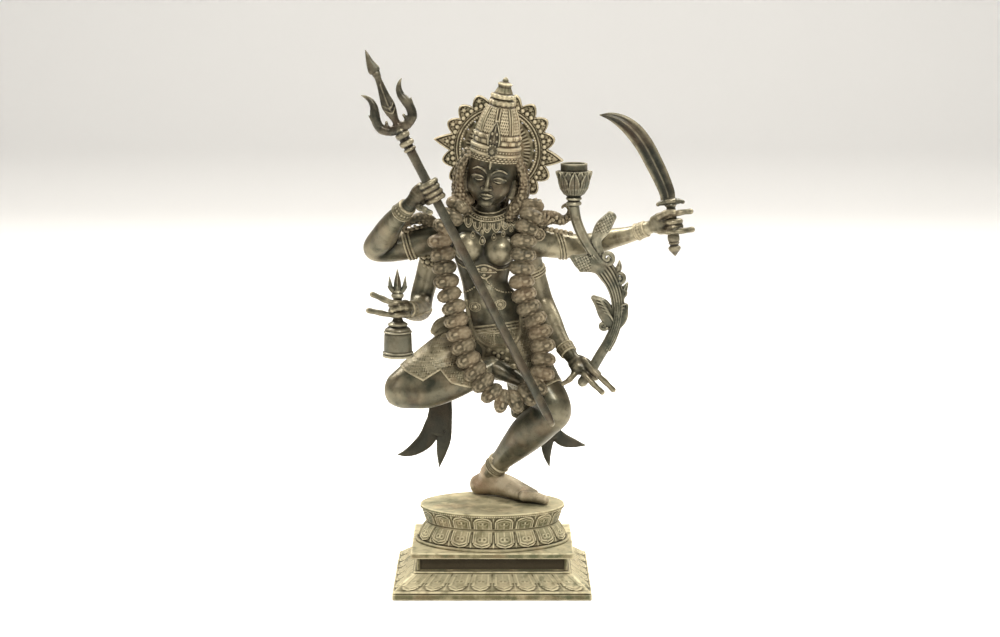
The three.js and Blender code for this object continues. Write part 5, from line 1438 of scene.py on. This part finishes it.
necklace = Wax((-42, -34, 258), (34, 14, 314), 0.6)
for line, girth, lift in [
    ([(-31, 302), (-25, 296), (-16, 290.5), (-6, 288.5), (6, 289), (15, 292), (22, 297), (26, 302)],
     0.75, 0.9),
    ([(-30, 306), (-24, 300), (-15, 294.5), (-6, 292.5), (6, 293), (14, 296), (20, 301)], 0.9, 1.0),
    ([(-27, 308), (-22, 303), (-14, 298), (-6, 296.4), (5, 297), (13, 300), (18, 304)], 0.7, 0.7),
]:
    lay(necklace, line, girth, lift)
lay(necklace, [(-29, 304), (-24, 298.4), (-15, 292.6), (-6, 290.6), (6, 291), (14, 294), (21, 299)],
    1.0, 1.1, beads=2.2)
for x, z in [(-30, 292), (-23.5, 287), (-14.5, 283.5), (-5, 282), (4, 282), (13, 284.5), (21, 288.5),
             (27.5, 293)]:
    for size, girth in ((1.0, 0.7), (0.52, 0.6)):
        lay(necklace, [(x - 3.5 * size, z + 4.2), (x - 3.6 * size, z), (x, z - 4.6 * size),
                       (x + 3.6 * size, z), (x + 3.5 * size, z + 4.2)], girth, 0.5, step=0.9)
for x, z, wide, tall in [(-9.6, 270, 2.7, 4.1), (1.8, 273.4, 2.0, 3.0), (-19, 275.4, 2.0, 3.0),
                         (11, 276.4, 1.7, 2.6), (-9.8, 277.8, 1.3, 2.4), (19, 280, 1.6, 2.4)]:
    drop(necklace, x, z, wide, tall)
pour("necklace", *necklace.surface(), ORNAMENT_PATINA)

girdle = Wax((-38, -34, 150), (38, 16, 252), 0.65)
for line, girth, lift in [
    ([(-19, 242.6), (-8, 245.4), (4, 241)], 0.8, 0.7),
    ([(-18, 239), (-8, 238), (4, 237.6)], 0.8, 0.7),
    ([(-14, 235.6), (-7, 231.4), (-1, 235)], 0.8, 0.7),
]:
    lay(girdle, line, girth, lift)
girdle.ball(seat([(-8, 240.6)])[0] + (0, -0.6, 0), (3.4, 1.8, 2.6), blend=0.3)
for x, z in ((-14, 240.6), (-2, 239.6), (-8, 235)):
    girdle.ball(seat([(x, z)])[0], (1.9, 1.3, 1.5), blend=0.3)
lay(girdle, [(-7, 232), (-3, 226.5), (3, 221.4), (11, 217.8), (19, 216.2)], 1.05, 0.2, beads=2.15)
lay(girdle, [(-9, 232), (-14, 226), (-20, 221), (-28, 216), (-33, 214)], 1.05, 0.2, beads=2.15)
lay(girdle, [(-34, 246), (-27, 242), (-19, 241)], 0.9, 0.4)
lay(girdle, [(4, 240), (12, 240), (20, 243)], 0.9, 0.4)
for x, z in ((-17, 203), (8, 205.6)):
    for size, girth in ((5.6, 0.7), (3.8, 0.65)):
        ring = [(x + size * math.sin(a), z + 0.85 * size * math.cos(a))
                for a in np.linspace(0, 2 * math.pi, 17)]
        lay(girdle, ring, girth, 0.2, step=0.8)
    girdle.ball(seat([(x, z)])[0], (2.5, 2.3, 2.3), blend=0.3)
CORD_LINE = [(-26, 208), (-24, 198), (-20, 181), (-9, 167.6), (6, 162), (18, 164), (25.5, 171), (28.5, 182),
             (28.5, 196)]
lay(girdle, CORD_LINE, 2.0, 1.6, step=3)
for shift, girth in ((0, 0.8), (2.2, 0.55)):
    lay(girdle, [(-22, 183 - shift), (-14, 178.6 - shift), (0, 176.4 - shift), (14, 179 - shift),
                 (28, 185 - shift)], girth, 0.4)
for k in range(11):
    x = -13.5 + 3.5 * k
    z = 172.6 + 0.013 * (x - 2) ** 2
    lay(girdle, [(x - 1.3, z + 1.6), (x, z - 1.4), (x + 1.3, z + 1.6)], 0.5, 0.1, step=0.9)
    girdle.ball(seat([(x, z + 0.6)])[0], 0.75)
pour("girdle", *girdle.surface(), ORNAMENT_PATINA)

# Bands cast round the limbs follow the skin under them: triple ridges on the upper arms, broad
# ringed bracelets over the wrists, flower bosses on the lower armlets, and anklets. A belt of
# three ridges holds the cloth round the hips.
BAND_PROUD = 0.7


def band(at, way, half, ridges, reach=19.0, beads=0, grain=0.9):
    """A cast band across a limb; ridges are pairs of place along the limb and height."""
    at, way = np.array(at, float), unit(way)
    wax = Wax(at - reach, at + reach, grain)
    where, axes = wax.patch(at - 99, at + 99)
    x, y, z = np.broadcast_arrays(*axes)
    spots = np.stack([x, y, z], -1)
    off = spots - at
    along = off @ way
    flat = off - along[..., None] * way
    height = BAND_PROUD + sum(h * np.exp(-((along - s) / 0.75) ** 2) for s, h in ridges)
    if beads:
        side = unit(np.cross(way, [0.1, 0.3, 1]))
        turn = np.arctan2(flat @ np.cross(way, side), flat @ side)
        height = height + 0.8 * np.abs(np.cos(turn * beads / 2)) * np.exp(-(along / 1.6) ** 2)
    shape = np.maximum(body.at(spots) - height, np.abs(along) - half)
    wax.field[where] = np.maximum(shape, np.linalg.norm(flat, axis=-1) - reach + 1.5).astype(np.float32)
    return wax.surface()


TRIPLE = ((-3.0, 1.0), (0, 1.3), (3.0, 1.0))
BROAD = ((-5.2, 1.1), (-3.2, 0.8), (3.2, 0.8), (5.2, 1.1))
NARROW = ((-4.2, 1.0), (-2.2, 0.8), (2.2, 0.8), (4.2, 1.0))
ANKLET = ((-3.8, 1.2), (-1.2, 0.7), (1.2, 0.7), (3.8, 1.2))
bands = [
    band((-82, -1, 263), (-0.93, 0.05, -0.28), 4.0, TRIPLE),
    band((67.5, 14, 261.5), (0.93, 0.25, 0.22), 4.0, TRIPLE),
    band((-85, -47.6, 304), (28, -30, 36), 6.2, BROAD, beads=18, reach=15),
    band((148, -7, 279.2), (0.8, -0.5, 0.4), 6.2, BROAD, beads=18, reach=14),
    band((-82.4, -33, 203), (-0.2, -0.97, 0.14), 5.4, NARROW, beads=16, reach=13),
    band((74.6, -8.4, 159.4), (14, -16, -19), 5.4, NARROW, beads=16, reach=13),
    band((-60, 18, 245), (-0.5, 0.1, -0.85), 4.0, TRIPLE, reach=17),
    band((41, 22.4, 234), (0.3, 0.25, -0.92), 4.0, TRIPLE, reach=16),
    band((4.4, 20.2, 34.6), (-13.5, 12, -17), 5.0, ANKLET, reach=16),
    band((-9, -32.6, 142.6), (0.88, 0.1, 0.45), 4.4, TRIPLE, reach=15),
]
hip_belt = band((0, 8, 181.5), (-0.14, 0, 1), 4.0, TRIPLE, reach=44, grain=1.05)
pour("hip_belt", *hip_belt, ORNAMENT_PATINA)
pour("arm_and_ankle_bands", *gather(bands), ORNAMENT_PATINA)

bosses = Wax((-80, -2, 218), (62, 48, 262), 0.7)
for centre, way in (((42, 11.5, 237), (0.3, -1, 0.1)), ((-64, 5, 246), (-0.3, -1, 0))):
    way = unit(way)
    side = unit(np.cross(way, [0, 0, 1]))
    up = np.cross(side, way)
    bosses.ball(centre, 3.2, blend=0.4)
    for k in range(7):
        turn = 2 * math.pi * k / 7
        bosses.ball(np.array(centre) + (side * math.cos(turn) + up * math.sin(turn)) * 5.0, 2.3, blend=0.4)
pour("armlet_flowers", *bosses.surface(), ORNAMENT_PATINA)

# The cloth is cast as a thin skin over both thighs, down to a curved hem. It is punched all over
# in a close weave, with a rosette and a folded bow at the hip, and a lion-faced clasp with loose
# ends in the lap.
WEAVE_PITCH = 3.5
CLOTH_GRAIN = 1.12


def wrap(low, high, hem, thick):
    """Cloth over the body above a hem line, with a woven surface and a raised edge."""
    wax = Wax(low, high, CLOTH_GRAIN)
    where, axes = wax.patch(np.array(low) - 9, np.array(high) + 9)
    x, y, z = np.broadcast_arrays(*axes)
    away = hem(x, y, z)
    k = 2 * math.pi / WEAVE_PITCH
    weave = 0.5 * np.cos(k * (0.8 * x + 0.6 * z + 0.2 * y)) * np.cos(k * (0.8 * z - 0.6 * x + 0.5 * y))
    edge = 0.25 * np.exp(-((away - 1.2) / 0.8) ** 2)
    outside = body.at(np.stack([x, y, z], -1)) - thick - weave * (away > 2.4) - edge
    waist = np.interp(x, [-60, -45, -30, 30, 45], [200, 190, 177, 185, 187])
    inner = np.maximum.reduce([low[0] + 1 - x, x - high[0] + 1, y - high[1] + 1, z - waist])
    inner = np.maximum(inner, np.minimum(-18 - y, 14 - np.abs(x + 3)))
    wax.field[where] = np.maximum.reduce([outside, -away, inner]).astype(np.float32)
    return wax.surface()


def raised_hem(x, y, z):
    """Height above the zigzag hem of the raised thigh."""
    line = np.interp(x, [-104, -96, -87, -68, -51, -40, -22], [158, 150, 143, 134, 144, 133, 128])
    return (z - line) * 0.85


def standing_hem(x, y, z):
    """Distance from the hem above the standing knee, with an open edge in the lap."""
    along = (x - 56) * 0.5 + (-18 - y) * 0.45 + (120 - z) * 0.74
    return np.minimum(np.sin(np.arctan2(y, x - 50) * 3) - along, 150 - 0.55 * z - x)


pour("thigh_cloth_raised", *wrap((-106, -58, 122), (4, 44, 196), raised_hem, 1.2), ORNAMENT_PATINA)
pour("thigh_cloth_standing", *wrap((-1, -46, 104), (86, 44, 192), standing_hem, 0.9), ORNAMENT_PATINA)

dress = Wax((-70, -54, 118), (44, 26, 200), 0.82)
dress.ball((6, -17, 156), (14, 6.5, 8.5))
for side in (-1, 1):
    dress.ball((6 + side * 4, -23, 158.5), (2.0, 1.6, 1.6), blend=0.5)
    dress.ball((6 + side * 9, -20, 160), (3.0, 2.4, 3.2), blend=0.8)
    dress.ball((6 + side * 8, -21, 152), (3.2, 2.4, 2.6), blend=0.8)
dress.ball((6, -24, 155), (2.2, 2.0, 3.0), blend=0.6)
dress.limb([[0, -22.4, 150.6, 1.0], [6, -24, 149.4, 1.2], [12, -22.4, 150.6, 1.0]], blend=0.4)
ribbon(dress, [[2, -24, 140, 4, 2.4], [10, -32, 142, 4, 2.4], [22, -36, 147, 3.4, 2.2]], 0.7)
ribbon(dress, [[0, -22, 136, 4, 2.4], [10, -32, 136, 4, 2.4], [20, -36, 140, 3.4, 2.2]], 0.7)
ribbon(dress, [[14, -34, 139, 3, 2], [22, -36, 135, 4, 2.2], [31, -35, 129, 1.4, 1.4]])
ribbon(dress, [[4, -20, 150, 6, 4], [-6, -28, 142, 5, 3], [-16, -36, 136, 4, 3]], 0.7)
ribbon(dress, [[-30, 0, 184, 7, 5], [-43, -2, 186, 7, 5], [-53, -3, 183, 6, 4.6], [-58, -2, 177, 4, 4]], 0.6)
ribbon(dress, [[-34, -2, 176, 6, 5], [-46, -4, 178, 6, 5], [-54, -3, 173, 5, 4]], 0.6)
ribbon(dress, [[-26, 2, 190, 5, 4], [-36, 0, 194, 5, 4], [-45, 0, 192, 3, 3]], 0.6)
ribbon(dress, [[-46, -14, 166, 5, 3], [-46, -22, 156, 6, 3], [-44, -29, 144, 6, 2.6],
               [-43, -33, 138, 4, 2]], 0.8)
for size, girth in ((5.4, 0.8), (3.4, 0.7)):
    ring = []
    for a in np.linspace(0, 2 * math.pi, 15):
        wide = size * math.sin(a)
        ring.append([-46 + 0.92 * wide, -16.5 - 0.25 * wide, 171.5 + size * math.cos(a), girth])
    dress.limb(ring, blend=0.4, step=2)
dress.ball((-46, -15.6, 171.5), (5, 2.2, 5), blend=0.3)
dress.ball((-46, -17.6, 171.5), (1.7, 1.6, 1.7), blend=0.3)
pour("dress_ends_and_clasp", *dress.surface(), ORNAMENT_PATINA)

# Time and handling finish the surface: dust lies where pieces crowd together, and the crests and the
# places that are touched are polished light by wear. The same layers carry painted light: the bottoms
# of the carving are painted near black, dark patina deepened as painted shade, and painted highlights
# are laid on chosen places, such as the upper arms, the chest and the raised thigh, and on the faces of
# the pedestal that turn up. Each piece is painted with all three, point by point, and its patina reads them.
DOT_AREA = 2.5
CROWD_GRAIN = 1.6


def read_mesh(piece):
    """Points, normals and edges of a piece, and dots strewn over it with their share of its area."""
    mesh = piece.data
    points = np.empty(len(mesh.vertices) * 3, np.float32)
    mesh.vertices.foreach_get("co", points)
    normals = np.empty(len(mesh.vertices) * 3, np.float32)
    mesh.vertex_normals.foreach_get("vector", normals)
    edges = np.empty(len(mesh.edges) * 2, np.int32)
    mesh.edges.foreach_get("vertices", edges)
    points = points.reshape(-1, 3) * 1000
    mesh.calc_loop_triangles()
    corners = np.empty(len(mesh.loop_triangles) * 3, np.int32)
    mesh.loop_triangles.foreach_get("vertices", corners)
    a, b, c = (points[corners[i::3]] for i in range(3))
    area = np.linalg.norm(np.cross(b - a, c - a), axis=1) / 2
    number = np.ceil(area / DOT_AREA + 1e-6).astype(int)
    which = np.repeat(np.arange(len(area)), number)
    u, v = np.sqrt(chance.random(len(which)))[:, None], chance.random(len(which))[:, None]
    dots = a[which] * (1 - u) + b[which] * (u * (1 - v)) + c[which] * (u * v)
    return points, normals.reshape(-1, 3), edges.reshape(-1, 2), dots, (area / number)[which]


def crowding(points, normals, dots, weights):
    """How much metal lies near each point, a little way out from the surface."""
    grain = CROWD_GRAIN
    low = points.min(0) - 8
    size = np.ceil((points.max(0) + 8 - low) / grain).astype(int)
    flat = np.ravel_multi_index(np.floor((dots - low) / grain).astype(int).T, size)
    density = np.bincount(flat, weights, np.prod(size)).reshape(size).astype(np.float32)
    for repeat in range(3):
        for axis in range(3):
            density = (density * 2 + np.roll(density, 1, axis) + np.roll(density, -1, axis)) / 4
    probe = np.floor((points + normals * 2 * CROWD_GRAIN - low) / grain).astype(int)
    return density[tuple(np.clip(probe, 0, size - 1).T)] / grain ** 2


# Places lightened with the wear colour: partly wear from handling, partly painted highlights on the sides the
# lamp lights, such as the upper arms, the chest and the raised thigh. Each is a centre, a reach and an
# amount.
HANDLED_AND_HIGHLIT = [
    ((74, -10, 286), 30, 0.9), ((66, -6, 322), 24, 0.7), ((100, 0, 358), 32, 0.55),
    ((145, -8, 361), 30, 0.6), ((-76, -20, 290), 24, 0.5), ((-66, 10, 324), 22, 0.45),
    ((-6, -20, 352), 22, 0.12), ((-8, -25, 290), 26, 0.3), ((-92, -60, 240), 30, 0.3),
    ((12, 14, 93), 24, 0.45), ((-58, -24, 249), 28, 0.6),
]
# For each pedestal piece: the heights of its band of petals, which takes a lighter tone, and the amount of
# painted top light on its faces that turn up.
PETAL_BANDS = {"plinth": (9.5, 21.5, 0.45), "lotus_throne": (47, 64, 0.1)}
meshes = [read_mesh(piece) for piece in poured]
crowd = crowding(*(np.concatenate([mesh[i] for mesh in meshes]) for i in (0, 1, 3, 4)))
start = 0
for piece, (points, normals, edges, dots, share) in zip(poured, meshes):
    near = crowd[start:start + len(points)]
    start += len(points)
    number = np.maximum(np.bincount(edges.ravel(), minlength=len(points)), 1)

    def around(values):
        both = np.concatenate([values[edges[:, 1]], values[edges[:, 0]]])
        return np.bincount(np.concatenate([edges[:, 0], edges[:, 1]]), both, len(points)) / number

    span = np.linalg.norm(points[edges[:, 0]] - points[edges[:, 1]], axis=1)
    span = np.bincount(edges.ravel(), np.repeat(span, 2), len(points)) / number + 1e-3
    middle = np.stack([around(points[:, i]) for i in range(3)], -1)
    bend = ((middle - points) * normals).sum(1) / span
    for repeat in range(2):
        bend = 0.5 * bend + 0.5 * around(bend)
        near = 0.5 * near + 0.5 * around(near)
    shares = []
    for place, reach, amount in HANDLED_AND_HIGHLIT:
        shares.append(amount * np.exp(-(np.linalg.norm(points - place, axis=1) / reach) ** 2))
    if piece.name in PETAL_BANDS:
        low, high, painted_top_light = PETAL_BANDS[piece.name]
        on_band = (points[:, 2] > low) & (points[:, 2] < high)
        # Painted light from above: faces that turn up are lightened, besides the lighter tone of the petal
        # band.
        shares.append(0.3 * on_band + painted_top_light * np.clip(normals[:, 2], 0, 1) ** 4)
    layers = {
        "dust": np.clip((near - 0.3) / 0.6, 0, 1),
        # Creases: dark patina in the hollows, darkened further as painted shade.
        "crease": np.clip(bend * 12 - 0.1, 0, 1),
        # Ridges: wear; plus painted highlights from the places and the top light above.
        "crest_and_highlight": np.clip(np.clip(-bend * 9 - 0.25, 0, 1) + sum(shares), 0, 1),
    }
    for name, values in layers.items():
        layer = piece.data.attributes.new(name, "FLOAT", "POINT")
        layer.data.foreach_set("value", values.astype(np.float32))
